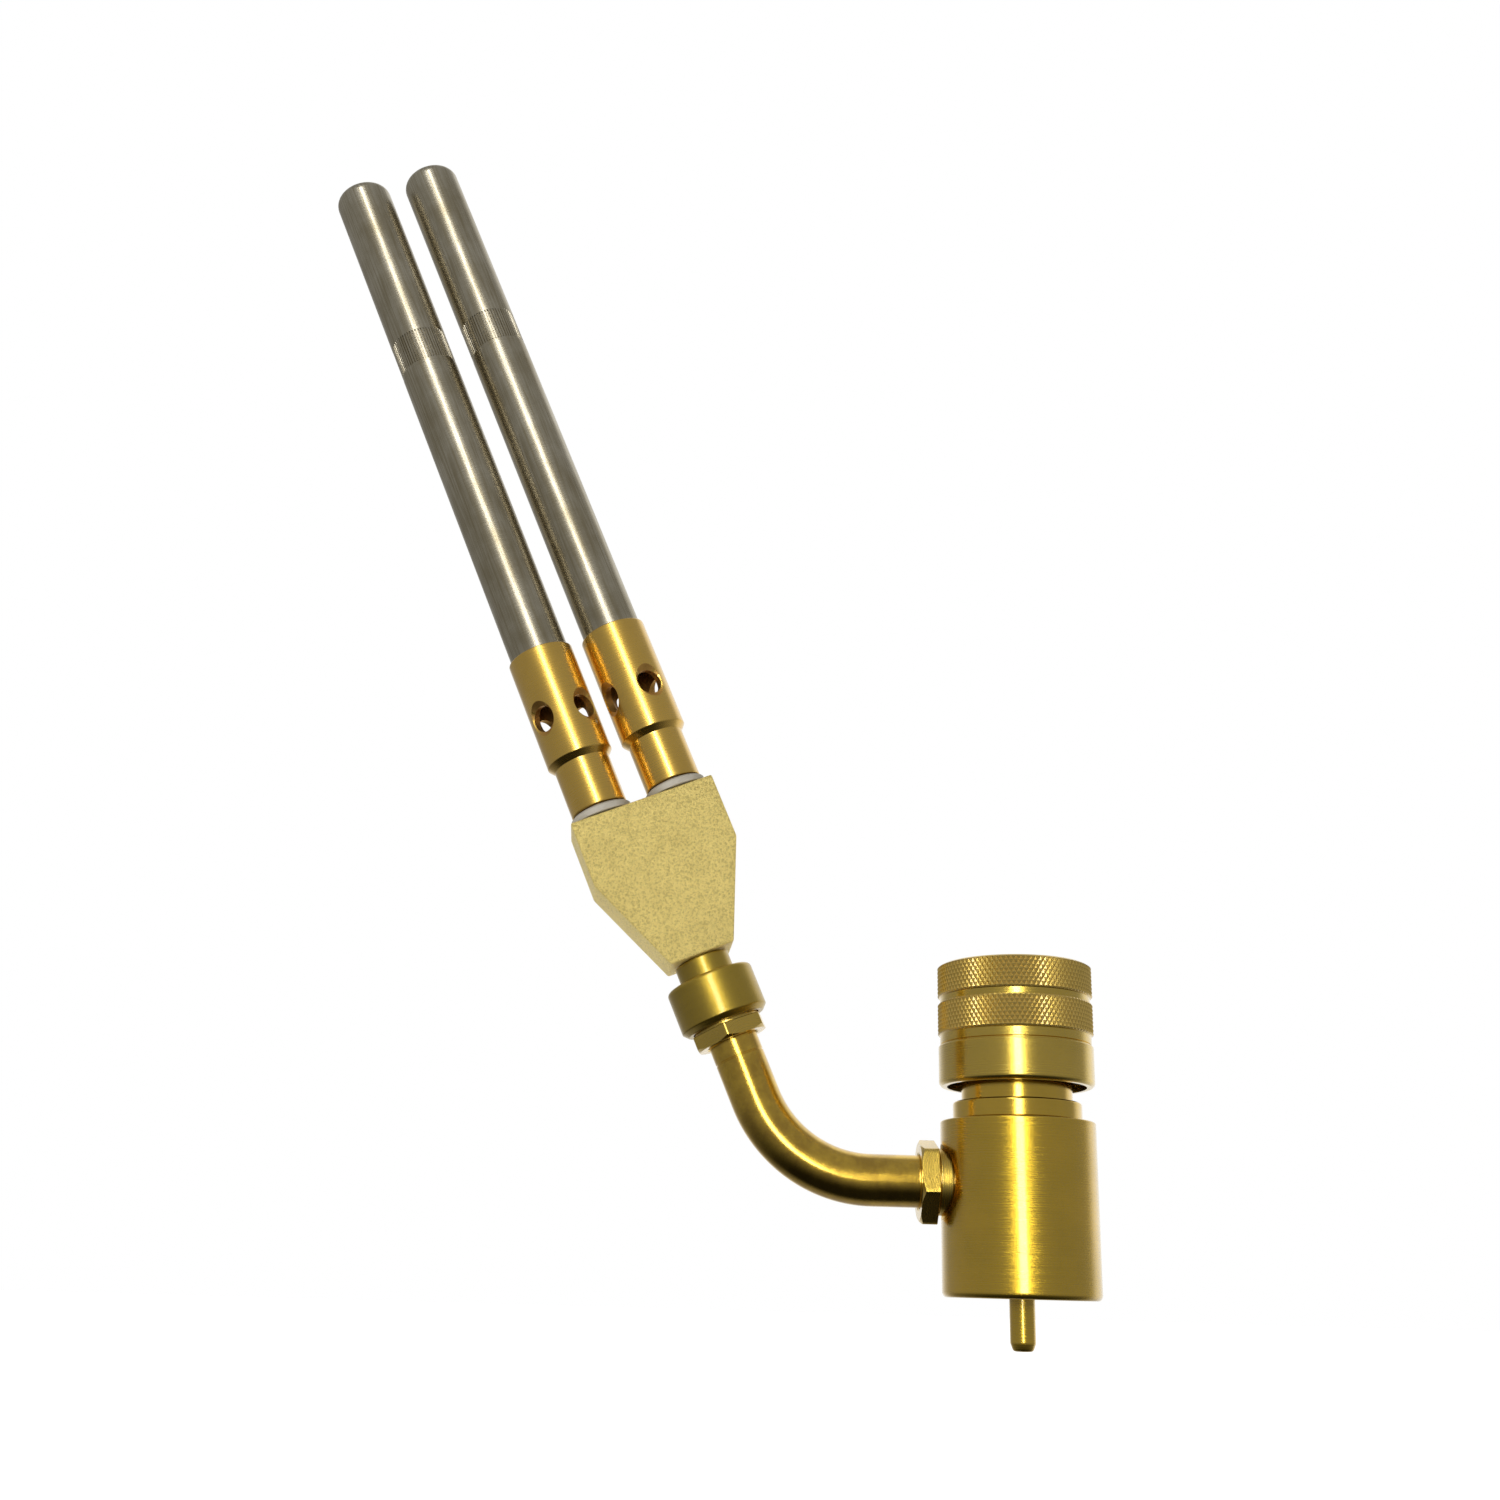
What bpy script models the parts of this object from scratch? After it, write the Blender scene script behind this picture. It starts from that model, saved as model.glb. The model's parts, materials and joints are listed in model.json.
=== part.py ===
"""Twin-flame brass hand torch that screws onto a disposable fuel cylinder.

Frame: metres, +Z up along the valve body's axis. The origin is the centre of the tank socket's
mouth, the outlet points to -X and the torch faces -Y. The swivelling head leans back from the
vertical in the XZ plane and carries a two-way manifold with two flame tubes.
"""

import math

import bmesh
import bpy
from mathutils import Matrix, Vector

MM = 0.001
SHARP_ANGLE = 30            # degrees; edges sharper than this are shaded as edges

# ---------------------------------------------------------------- driving dimensions (mm)
GAP = 0.3                   # clearance between pieces that meet
LOOSE = 0.4                 # clearance of a piece that slides or turns in its seat
EDGE = 0.4                  # small chamfer
HEX_EDGE = (1.0, 0.7)       # depth and height of a hexagon's turned chamfer
HEX_STOCK = 0.1             # how far a hexagon's blank stands over its corners
OVERCUT = 1.0               # how far a cutter runs past the face it opens
SEAL_SIDES = 16
ROUND = 20                  # sides of the round pieces
ROUND_LARGE = 24            # sides of the knob, the barrel and the bonnet
ROUND_SMALL = 12            # sides of the small pieces inside

BODY_R = 15.25              # barrel, around a 1 in tank socket
BODY_H = 33.15
BODY_CHAMFER = 1.4
SOCKET_R = 12.4
SOCKET_DEPTH = 15.0
SOCKET_LEAD = 0.8           # countersink at the socket's mouth
SEAT_Z = 19.0               # valve seat at the floor of the chamber
ORIFICE_R = 1.2
CHAMBER_R = 6.0
BONNET_BORE_R = 9.3
BONNET_BORE_Z = 27.0
PORT_R = (2.2, 4.8)         # gas port and the spigot's seat
PORT_FLOOR = -7.3           # of the spigot's seat, from the barrel's surface

STEP_R = 12.7               # flange of the bonnet
STEP_TOP = 36.9
NECK_R = 10.95
NECK_TOP = 49.0
NECK_EDGE = 0.5
STEM_R = 3.0
GLAND_R = 4.3
GLAND_Z = 42.0
CHAMBER_CONE = 2.0          # height of the cone that closes the chamber
PLUNGER_Z = (20.4, 29.0)
SEAT_POCKET = 0.8           # depth of the seat disc's pocket
FOOT_R = 3.7                # foot of the stem, held in the plunger
FOOT_Z = (23.2, 26.8)       # cavity in the plunger round the stem's foot
SEAL_AT_STEM = (45.5, 0.65)  # height and wire radius of the stem's O-ring
SEAL_GROOVE_R = 2.4
SEAL_STANDOFF = 0.2         # from the groove's floor
STEM_TOP = 58.2
SCREW_R = 1.5
SCREW_LOW = 51.0
SCREW_SEAT = 61.0
SCREW_TAP = 1.0             # tapped depth below the screw's end
SCREW_HEAD = (4.2, 2.1)     # radius and height
SCREW_HEAD_EDGE = 0.8
SCREW_SOCKET = (1.7, 1.4)   # radius over the corners and depth

KNOB_R = 15.5               # over the knurls
KNOB_RING_R = 15.4
KNOB_BOTTOM = 40.0
KNOB_CHAMFER = 2.05
KNOB_RING_TOP = 47.85
KNOB_GROOVE_R = 14.9
LOWER_KNURL_Z = (50.15, 56.4)
UPPER_KNURL_Z = (57.75, 64.0)
KNOB_HOLLOW_R = 13.0
KNOB_WEB_Z = 55.0
KNOB_HUB_R = 6.0
KNOB_HUB_Z = 51.0
KNOB_TOP_RECESS = (11.5, 0.8)
KNOB_SCREW_HOLE_R = 5.5

PIN_R = 2.45
PIN_TIP_Z = -9.4
PIN_TAPER = (0.75, 1.3)
PIN_HOLE_R = 3.5
PIN_HOLE_Z = 18.0
PIN_BORE_R = 0.8
PIN_FLANGE = (3.6, 13.4)    # radius and lower face
PIN_TOP = 16.6
INLET_SEAL = (5.3, 13.35, 1.3)  # radius, height and wire radius
FILTER_Z = (16.9, 17.6)

OUTLET_Z = 21.35
SPIGOT_R = 6.4
SPOTFACE_R = 7.2
SPOTFACE_DEPTH = 1.81
SPIGOT_TAIL_R = 4.5
SPIGOT_TAIL = -7.0
SPIGOT_BORE_R = 3.0
SPIGOT_THREAD_R = 5.9
NUT_BORE_R = 6.2
NUT_LIP = 0.9               # wall of the nut that presses on the tube
OUTLET_NUT_AF = 14.6
OUTLET_NUT_Z = (1.1, 4.5)   # measured outwards from the barrel's surface
OUTLET_NUT_TURN = 13.6      # degrees

TUBE_R = 5.0
TUBE_BORE_R = 4.0
TUBE_START = 0.3            # outwards from the barrel's surface
BEND_START = 13.8
BEND_R = 25.0
BEND_ANGLE = 66.6           # degrees
BEND_STEPS = 8
AFTER_BEND = 9.5            # straight run from the bend to the swivel datum

# The swivel and the head, along the head's axis from the swivel's datum.
HEAD_TWIST = 4.6            # degrees about its own axis, at rest
SWIVEL_NUT_AF = 14.0
SWIVEL_NUT_Z = (2.75, 5.75)
SWIVEL_NUT_TURN = 18.5      # degrees
SLEEVE_R = 9.0
SLEEVE_Z = (6.35, 16.2)
SLEEVE_BORE_R = 7.0
SLEEVE_FLOOR = 13.2
FLANGE_Z = (9.5, 11.3)
FLANGE_R = 6.6
SWIVEL_SEAL = (6.05, 12.2, 0.6)  # radius, height and wire radius
TUBE_END = 12.7
NIPPLE_R = 5.65
NIPPLE_TAIL_R = 4.3
NIPPLE_BORE_R = 2.5
NIPPLE_TAIL = 4.4           # length of each tail
SLEEVE_EDGE = (1.0, 0.7)    # lower and upper chamfer
BLOCK_Z = 20.55
BLOCK_H = 34.6
BLOCK_SIDE = 14.15          # length of the upper straight sides
BLOCK_W = 31.05
BLOCK_FOOT_W = 13.5
BLOCK_T = 12.2
BLOCK_EDGE = 0.4
PASSAGE_Z = 24.0            # cross passage, from the block's foot
PASSAGE_R = 2.2
PORT_OVERLAP = 2.0          # how far the burner ports reach below the passage's axis

# One burner, along its axis from the block's top face.
BURNER_X = 8.26
WASHER_R = 6.55
WASHER_T = 2.0
WASHER_EDGE = 0.8
BURNER_NECK_R = 6.0
COLLAR_R = 7.1
COLLAR_Z = (14.35, 39.25)
COLLAR_TAPER = 1.3
COLLAR_TAIL = (4.0, -10.0)  # radius and lower end
COLLAR_EDGE = 0.2
JET_BORE_R = 3.3
NOSE_BORE = (2.2, 5.3)      # radius and lower end
MIXER_CONE_Z = (12.5, 16.0)
JET_Z = (-1.0, 5.0, 10.5, 11.6)  # foot, shoulder, start of the cone, tip
JET_TIP_R = 0.9
JET_ORIFICE_R = 0.35
JET_FILTER_Z = (-2.6, -1.3)
AIR_DRILLS = (45, 135)      # degrees; each drill makes two opposite holes
AIR_DRILL_SIDES = 12
AIR_HOLE_R = 2.75
AIR_HOLE_Z = 24.0
AIR_HOLE_TURN = {"left": -0.9, "right": -21.4}
MIXER_R = 5.3
TUBE_SEAT_R = 6.55
TUBE_SEAT_Z = 30.0
FLAME_TUBE_R = 6.35
FLAME_BORE_R = 5.6
FLAME_TIP = 166.1
MOUTH_ROUND = 2.0
MOUTH_TURN = 75             # degrees the wall is rolled inwards
BAND_Z = (114.7, 122.6)     # grooved band that grips the flame holder
HOLDER_R = 5.3
HOLDER_HOLES = 6
HOLDER_PITCH_R = 3.3
HOLDER_BORE_R = 1.2
HOLDER_HOLE_R = 0.9
HOLDER_DRILL_SIDES = 6


# ---------------------------------------------------------------- materials
def make_material(name, color, roughness, metallic):
    material = bpy.data.materials.new(name)
    material.use_nodes = True
    shader = material.node_tree.nodes["Principled BSDF"]
    shader.inputs["Base Color"].default_value = (*color, 1.0)
    shader.inputs["Roughness"].default_value = roughness
    shader.inputs["Metallic"].default_value = metallic
    return material


def make_materials():
    return {
        "turned_brass": make_material("turned_brass", (0.52, 0.40, 0.15), 0.28, 1.0),
        "tube_brass": make_material("tube_brass", (0.42, 0.30, 0.11), 0.30, 1.0),
        "burner_brass": make_material("burner_brass", (0.60, 0.40, 0.13), 0.25, 1.0),
        "cast_brass": make_material("cast_brass", (0.56, 0.44, 0.18), 0.50, 1.0),
        "inner_brass": make_material("inner_brass", (0.58, 0.45, 0.20), 0.35, 1.0),
        "flame_steel": make_material("flame_steel", (0.46, 0.43, 0.38), 0.30, 1.0),
        "sintered_bronze": make_material("sintered_bronze", (0.40, 0.28, 0.16), 0.80, 1.0),
        "washer_plastic": make_material("washer_plastic", (0.72, 0.71, 0.67), 0.60, 0.0),
        "seal_rubber": make_material("seal_rubber", (0.02, 0.02, 0.02), 0.70, 0.0),
        "seat_plastic": make_material("seat_plastic", (0.80, 0.80, 0.76), 0.50, 0.0),
    }


# ---------------------------------------------------------------- shape helpers
def add_object(name, bm, material, parent=None, smooth=True):
    """Turn a bmesh in millimetres into an object in metres."""
    bmesh.ops.scale(bm, vec=(MM, MM, MM), verts=bm.verts)
    bmesh.ops.recalc_face_normals(bm, faces=bm.faces)
    mesh = bpy.data.meshes.new(name)
    bm.to_mesh(mesh)
    bm.free()
    if smooth:
        mesh.shade_smooth()
        mesh.set_sharp_from_angle(angle=math.radians(SHARP_ANGLE))
    obj = bpy.data.objects.new(name, mesh)
    bpy.context.collection.objects.link(obj)
    if material is not None:
        mesh.materials.append(material)
    if parent is not None:
        obj.parent = parent
    return obj


def spun(profile, sides, closed=True):
    """Spin a profile of (radius, height) points about Z.

    A closed profile makes a ring. An open one starts and ends on the axis.
    """
    bm = bmesh.new()
    verts = [bm.verts.new((radius, 0.0, height)) for radius, height in profile]
    edges = [bm.edges.new(pair) for pair in zip(verts, verts[1:])]
    if closed:
        edges.append(bm.edges.new((verts[-1], verts[0])))
    bmesh.ops.spin(bm, geom=verts + edges, cent=(0, 0, 0), axis=(0, 0, 1),
                   angle=math.tau, steps=sides, use_merge=True)
    bmesh.ops.remove_doubles(bm, verts=bm.verts, dist=1e-4)
    return bm


def turned(name, profile, material, parent=None, sides=ROUND, closed=True):
    return add_object(name, spun(profile, sides, closed), material, parent)


def prism(outline, depth):
    """Extrude an outline in XZ to both sides of the XZ plane."""
    bm = bmesh.new()
    face = bm.faces.new([bm.verts.new((x, -depth / 2, z)) for x, z in outline])
    result = bmesh.ops.extrude_face_region(bm, geom=[face])
    moved = [item for item in result["geom"] if isinstance(item, bmesh.types.BMVert)]
    bmesh.ops.translate(bm, vec=(0, depth, 0), verts=moved)
    return bm


def cylinder(radius, z_low, z_high, sides=ROUND):
    return spun([(0, z_low), (radius, z_low), (radius, z_high), (0, z_high)], sides, closed=False)


def placed(bm, matrix):
    bmesh.ops.transform(bm, matrix=matrix, verts=bm.verts)
    return bm


def add_cutter(name, bm, target, operation="DIFFERENCE"):
    """Add a hidden solid and a Boolean on the target that uses it, in the target's own frame."""
    cutter = add_object(name, bm, None, target.parent, smooth=False)
    cutter.location = target.location
    cutter.hide_render = True
    cutter.display_type = "WIRE"
    modifier = target.modifiers.new(name, "BOOLEAN")
    modifier.object = cutter
    modifier.operation = operation
    modifier.solver = "EXACT"
    return cutter


def arc(center, radius, start, end, steps):
    """Points of an arc in a profile, angles in degrees from the outward radius."""
    angles = [math.radians(start + (end - start) * i / steps) for i in range(steps + 1)]
    return [(center[0] + radius * math.cos(a), center[1] + radius * math.sin(a)) for a in angles]


def ring_of(center_r, height, wire_r, steps=6):
    """Round section of an O-ring, as a closed profile."""
    return arc((center_r, height), wire_r, 0, 360 * (steps - 1) / steps, steps - 1)


def add_empty(name, matrix, parent=None):
    """Add a frame; the matrix is in millimetres, relative to the parent."""
    empty = bpy.data.objects.new(name, None)
    bpy.context.collection.objects.link(empty)
    empty.parent = parent
    scaled = matrix.copy()
    scaled.translation = matrix.translation * MM
    empty.matrix_basis = scaled
    return empty


def corner_radius(across_flats):
    return across_flats / 2 / math.cos(math.pi / 6)


def hexagonal(name, profile, across_flats, turn, material, parent):
    """A turned blank milled to a hexagon."""
    blank = turned(name, profile, material, parent)
    low = min(height for _, height in profile) - OVERCUT
    high = max(height for _, height in profile) + OVERCUT
    corner_r = corner_radius(across_flats)
    bar = placed(cylinder(corner_r, low, high, 6), Matrix.Rotation(math.radians(turn), 4, "Z"))
    add_cutter(name + "_bar", bar, blank, "INTERSECT")
    return blank


# ---------------------------------------------------------------- valve
def make_valve_body(mats, outlet):
    body = turned("valve_body", [
        (BODY_R - BODY_CHAMFER, 0),
        (BODY_R, BODY_CHAMFER),
        (BODY_R, BODY_H - GAP),
        (BODY_R - GAP, BODY_H),
        (BONNET_BORE_R, BODY_H),
        (BONNET_BORE_R, BONNET_BORE_Z),
        (CHAMBER_R, BONNET_BORE_Z),
        (CHAMBER_R, SEAT_Z),
        (ORIFICE_R, SEAT_Z),
        (ORIFICE_R, PIN_HOLE_Z),
        (PIN_HOLE_R, PIN_HOLE_Z),
        (PIN_HOLE_R, SOCKET_DEPTH),
        (SOCKET_R, SOCKET_DEPTH),
        (SOCKET_R, SOCKET_LEAD),
        (SOCKET_R + SOCKET_LEAD, 0),
    ], mats["turned_brass"], sides=ROUND_LARGE)
    port_r, seat_r = PORT_R
    port_end = -BODY_R + CHAMBER_R / 2
    port = spun([
        (0, port_end),
        (port_r, port_end),
        (port_r, PORT_FLOOR),
        (seat_r, PORT_FLOOR),
        (seat_r, -SPOTFACE_DEPTH),
        (SPOTFACE_R, -SPOTFACE_DEPTH),
        (SPOTFACE_R, OVERCUT),
        (0, OVERCUT),
    ], ROUND, closed=False)
    add_cutter("outlet_port", placed(port, outlet), body)
    return body


def make_valve_bonnet(mats):
    low = BONNET_BORE_Z + GAP
    return turned("valve_bonnet", [
        (BONNET_BORE_R - GAP, low),
        (BONNET_BORE_R - GAP, BODY_H + GAP),
        (STEP_R, BODY_H + GAP),
        (STEP_R, STEP_TOP - GAP),
        (STEP_R - GAP, STEP_TOP),
        (NECK_R, STEP_TOP),
        (NECK_R, NECK_TOP - NECK_EDGE),
        (NECK_R - NECK_EDGE, NECK_TOP),
        (GLAND_R, NECK_TOP),
        (GLAND_R, GLAND_Z),
        (STEM_R + GAP, GLAND_Z),
        (STEM_R + GAP, BODY_H),
        (CHAMBER_R, BODY_H - CHAMBER_CONE),
        (CHAMBER_R, low),
    ], mats["turned_brass"], sides=ROUND_LARGE)


def make_plunger(mats):
    """A cup swaged over the stem's foot, with a soft disc under it."""
    plunger_r = CHAMBER_R - LOOSE
    low, high = PLUNGER_Z
    foot_low, foot_high = FOOT_Z
    disc_r = STEM_R
    pocket_z = low + SEAT_POCKET
    turned("valve_plunger", [
        (0, pocket_z),
        (disc_r + GAP, pocket_z),
        (disc_r + GAP, low),
        (plunger_r, low),
        (plunger_r, high),
        (STEM_R + LOOSE, high),
        (STEM_R + LOOSE, foot_high),
        (FOOT_R + LOOSE, foot_high),
        (FOOT_R + LOOSE, foot_low),
        (0, foot_low),
    ], mats["inner_brass"], sides=ROUND_SMALL, closed=False)
    turned("seat_disc", [
        (0, SEAT_Z + GAP),
        (disc_r, SEAT_Z + GAP),
        (disc_r, pocket_z - GAP),
        (0, pocket_z - GAP),
    ], mats["seat_plastic"], sides=ROUND_SMALL, closed=False)


def make_stem(mats):
    seal_z, seal_wire_r = SEAL_AT_STEM
    groove = seal_wire_r + GAP
    foot_low, foot_high = FOOT_Z
    turned("valve_stem", [
        (0, foot_low + LOOSE),
        (FOOT_R, foot_low + LOOSE),
        (FOOT_R, foot_high - LOOSE),
        (STEM_R, foot_high - LOOSE),
        (STEM_R, seal_z - groove),
        (SEAL_GROOVE_R, seal_z - groove),
        (SEAL_GROOVE_R, seal_z + groove),
        (STEM_R, seal_z + groove),
        (STEM_R, STEM_TOP),
        (SCREW_R + GAP, STEM_TOP),
        (SCREW_R + GAP, SCREW_LOW - SCREW_TAP),
        (0, SCREW_LOW - SCREW_TAP),
    ], mats["inner_brass"], sides=ROUND_SMALL, closed=False)
    seal = ring_of(SEAL_GROOVE_R + SEAL_STANDOFF + seal_wire_r, seal_z, seal_wire_r)
    turned("stem_seal", seal, mats["seal_rubber"], sides=ROUND_SMALL)


def make_knob(mats):
    rim_r, rim_depth = KNOB_TOP_RECESS
    lower_low, lower_high = LOWER_KNURL_Z
    upper_low, upper_high = UPPER_KNURL_Z
    turned("control_knob", [
        (KNOB_HOLLOW_R, KNOB_BOTTOM),
        (KNOB_RING_R - KNOB_CHAMFER, KNOB_BOTTOM),
        (KNOB_RING_R, KNOB_BOTTOM + KNOB_CHAMFER),
        (KNOB_RING_R, KNOB_RING_TOP),
        (KNOB_GROOVE_R, KNOB_RING_TOP + EDGE),
        (KNOB_GROOVE_R, lower_low - EDGE),
        (KNOB_R, lower_low),
        (KNOB_R, lower_high),
        (KNOB_GROOVE_R, lower_high + EDGE),
        (KNOB_GROOVE_R, upper_low - EDGE),
        (KNOB_R, upper_low),
        (KNOB_R, upper_high - EDGE),
        (KNOB_R - EDGE, upper_high),
        (rim_r, upper_high),
        (rim_r - rim_depth, upper_high - rim_depth),
        (KNOB_SCREW_HOLE_R, upper_high - rim_depth),
        (KNOB_SCREW_HOLE_R, SCREW_SEAT),
        (SCREW_R + GAP, SCREW_SEAT),
        (SCREW_R + GAP, STEM_TOP + GAP),
        (STEM_R + GAP, STEM_TOP + GAP),
        (STEM_R + GAP, KNOB_HUB_Z),
        (KNOB_HUB_R, KNOB_HUB_Z),
        (KNOB_HUB_R, KNOB_WEB_Z),
        (KNOB_HOLLOW_R, KNOB_WEB_Z),
    ], mats["turned_brass"], sides=ROUND_LARGE)
    head_r, head_height = SCREW_HEAD
    head_low = SCREW_SEAT + GAP
    head_high = head_low + head_height
    screw = turned("knob_screw", [
        (0, SCREW_LOW),
        (SCREW_R, SCREW_LOW),
        (SCREW_R, head_low),
        (head_r, head_low),
        (head_r, head_high - SCREW_HEAD_EDGE),
        (head_r - SCREW_HEAD_EDGE, head_high),
        (0, head_high),
    ], mats["flame_steel"], sides=ROUND_SMALL, closed=False)
    socket_r, socket_depth = SCREW_SOCKET
    socket = cylinder(socket_r, head_high - socket_depth, head_high + OVERCUT, 6)
    add_cutter("screw_socket", socket, screw)


def make_inlet(mats):
    taper_r, taper_z = PIN_TAPER
    flange_r, flange_low = PIN_FLANGE
    flange_top = SOCKET_DEPTH - GAP
    stub_r = PIN_HOLE_R - GAP
    turned("inlet_pin", [
        (PIN_BORE_R, PIN_TIP_Z),
        (PIN_R - taper_r, PIN_TIP_Z),
        (PIN_R, PIN_TIP_Z + taper_z),
        (PIN_R, flange_low),
        (flange_r, flange_low),
        (flange_r, flange_top),
        (stub_r, flange_top),
        (stub_r, PIN_TOP),
        (PIN_BORE_R, PIN_TOP),
    ], mats["turned_brass"])
    turned("inlet_seal", ring_of(*INLET_SEAL), mats["seal_rubber"], sides=SEAL_SIDES)
    filter_low, filter_high = FILTER_Z
    turned("inlet_filter", [
        (0, filter_low),
        (stub_r, filter_low),
        (stub_r, filter_high),
        (0, filter_high),
    ], mats["sintered_bronze"], sides=ROUND_SMALL, closed=False)


# ---------------------------------------------------------------- outlet and bent tube
def make_outlet(mats, outlet_frame):
    nut_low, nut_high = OUTLET_NUT_Z
    nose_end = nut_high - NUT_LIP
    turned("outlet_spigot", [
        (SPIGOT_TAIL_R, SPIGOT_TAIL),
        (SPIGOT_TAIL_R, GAP - SPOTFACE_DEPTH),
        (SPIGOT_R, GAP - SPOTFACE_DEPTH),
        (SPIGOT_R, nut_low - GAP),
        (SPIGOT_THREAD_R, nut_low - GAP),
        (SPIGOT_THREAD_R, nose_end),
        (TUBE_R + GAP, nose_end),
        (TUBE_R + GAP, 0),
        (SPIGOT_BORE_R, 0),
        (SPIGOT_BORE_R, SPIGOT_TAIL),
    ], mats["tube_brass"], outlet_frame)
    corner_r = corner_radius(OUTLET_NUT_AF)
    depth, height = HEX_EDGE
    hexagonal("outlet_nut", [
        (NUT_BORE_R, nut_low),
        (corner_r + HEX_STOCK, nut_low),
        (corner_r + HEX_STOCK, nut_high - height),
        (corner_r - depth, nut_high),
        (TUBE_R + GAP, nut_high),
        (TUBE_R + GAP, nose_end + GAP),
        (NUT_BORE_R, nose_end + GAP),
    ], OUTLET_NUT_AF, OUTLET_NUT_TURN, mats["tube_brass"], outlet_frame)


def bend_point(angle):
    """Centre-line point of the bend, in millimetres, and the way it runs there."""
    start = Vector((-BODY_R - BEND_START, 0, OUTLET_Z))
    point = start + Vector((-BEND_R * math.sin(angle), 0, BEND_R * (1 - math.cos(angle))))
    heading = Vector((-math.cos(angle), 0, math.sin(angle)))
    return point, heading


def tube_stations():
    bend = math.radians(BEND_ANGLE)
    heading_out = Vector((-1, 0, 0))
    stations = [(Vector((-BODY_R - TUBE_START, 0, OUTLET_Z)), heading_out)]
    stations += [bend_point(bend * step / BEND_STEPS) for step in range(BEND_STEPS + 1)]
    last, heading = stations[-1]
    stations.append((last + heading * (AFTER_BEND + TUBE_END), heading))
    return stations


def tube_ring(bm, point, heading, radius):
    side = Vector((0, 1, 0))
    out = heading.cross(side)
    angles = [math.tau * step / ROUND for step in range(ROUND)]
    return [bm.verts.new(point + radius * (math.cos(a) * out + math.sin(a) * side)) for a in angles]


def bridge(bm, ring_a, ring_b):
    for step in range(ROUND):
        after = (step + 1) % ROUND
        bm.faces.new((ring_a[step], ring_a[after], ring_b[after], ring_b[step]))


def make_bent_tube(mats):
    bm = bmesh.new()
    stations = tube_stations()
    outer = [tube_ring(bm, point, heading, TUBE_R) for point, heading in stations]
    inner = [tube_ring(bm, point, heading, TUBE_BORE_R) for point, heading in stations]
    for skin in (outer, inner):
        for ring_a, ring_b in zip(skin, skin[1:]):
            bridge(bm, ring_a, ring_b)
    bridge(bm, outer[0], inner[0])
    bridge(bm, outer[-1], inner[-1])
    add_object("bent_tube", bm, mats["tube_brass"])


def swivel_matrix(twist):
    """Frame at the swivel's datum: Z along the head's axis, Y to the back."""
    last, heading = bend_point(math.radians(BEND_ANGLE))
    lean = math.radians(90 - BEND_ANGLE)
    matrix = Matrix.Rotation(-lean, 4, "Y") @ Matrix.Rotation(math.radians(twist), 4, "Z")
    matrix.translation = last + heading * AFTER_BEND
    return matrix


# ---------------------------------------------------------------- swivel and manifold
def make_swivel(mats, fixed_frame, head_frame):
    flange_low, flange_high = FLANGE_Z
    turned("swivel_flange", [
        (TUBE_R + GAP, flange_low),
        (FLANGE_R, flange_low),
        (FLANGE_R, flange_high),
        (TUBE_R + GAP, flange_high),
    ], mats["inner_brass"], fixed_frame)
    seal = ring_of(*SWIVEL_SEAL)
    turned("swivel_seal", seal, mats["seal_rubber"], fixed_frame, sides=SEAL_SIDES)

    nut_low, nut_high = SWIVEL_NUT_Z
    corner_r = corner_radius(SWIVEL_NUT_AF)
    depth, height = HEX_EDGE
    spigot_r = SLEEVE_BORE_R - GAP
    hexagonal("swivel_nut", [
        (TUBE_R + GAP, nut_low),
        (corner_r - depth, nut_low),
        (corner_r + HEX_STOCK, nut_low + height),
        (corner_r + HEX_STOCK, nut_high),
        (spigot_r, nut_high),
        (spigot_r, flange_low - GAP),
        (TUBE_R + GAP, flange_low - GAP),
    ], SWIVEL_NUT_AF, SWIVEL_NUT_TURN, mats["tube_brass"], head_frame)

    low, high = SLEEVE_Z
    low_edge, high_edge = SLEEVE_EDGE
    tail_bore_r = NIPPLE_TAIL_R + GAP
    turned("swivel_sleeve", [
        (SLEEVE_BORE_R, low),
        (SLEEVE_R - low_edge, low),
        (SLEEVE_R, low + low_edge),
        (SLEEVE_R, high - high_edge),
        (SLEEVE_R - high_edge, high),
        (tail_bore_r, high),
        (tail_bore_r, SLEEVE_FLOOR),
        (SLEEVE_BORE_R, SLEEVE_FLOOR),
    ], mats["tube_brass"], head_frame)

    turned("head_nipple", [
        (NIPPLE_BORE_R, SLEEVE_FLOOR + GAP),
        (NIPPLE_TAIL_R, SLEEVE_FLOOR + GAP),
        (NIPPLE_TAIL_R, high + GAP),
        (NIPPLE_R, high + GAP),
        (NIPPLE_R, BLOCK_Z - GAP),
        (NIPPLE_TAIL_R, BLOCK_Z - GAP),
        (NIPPLE_TAIL_R, BLOCK_Z + NIPPLE_TAIL),
        (NIPPLE_BORE_R, BLOCK_Z + NIPPLE_TAIL),
    ], mats["tube_brass"], head_frame)


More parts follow.
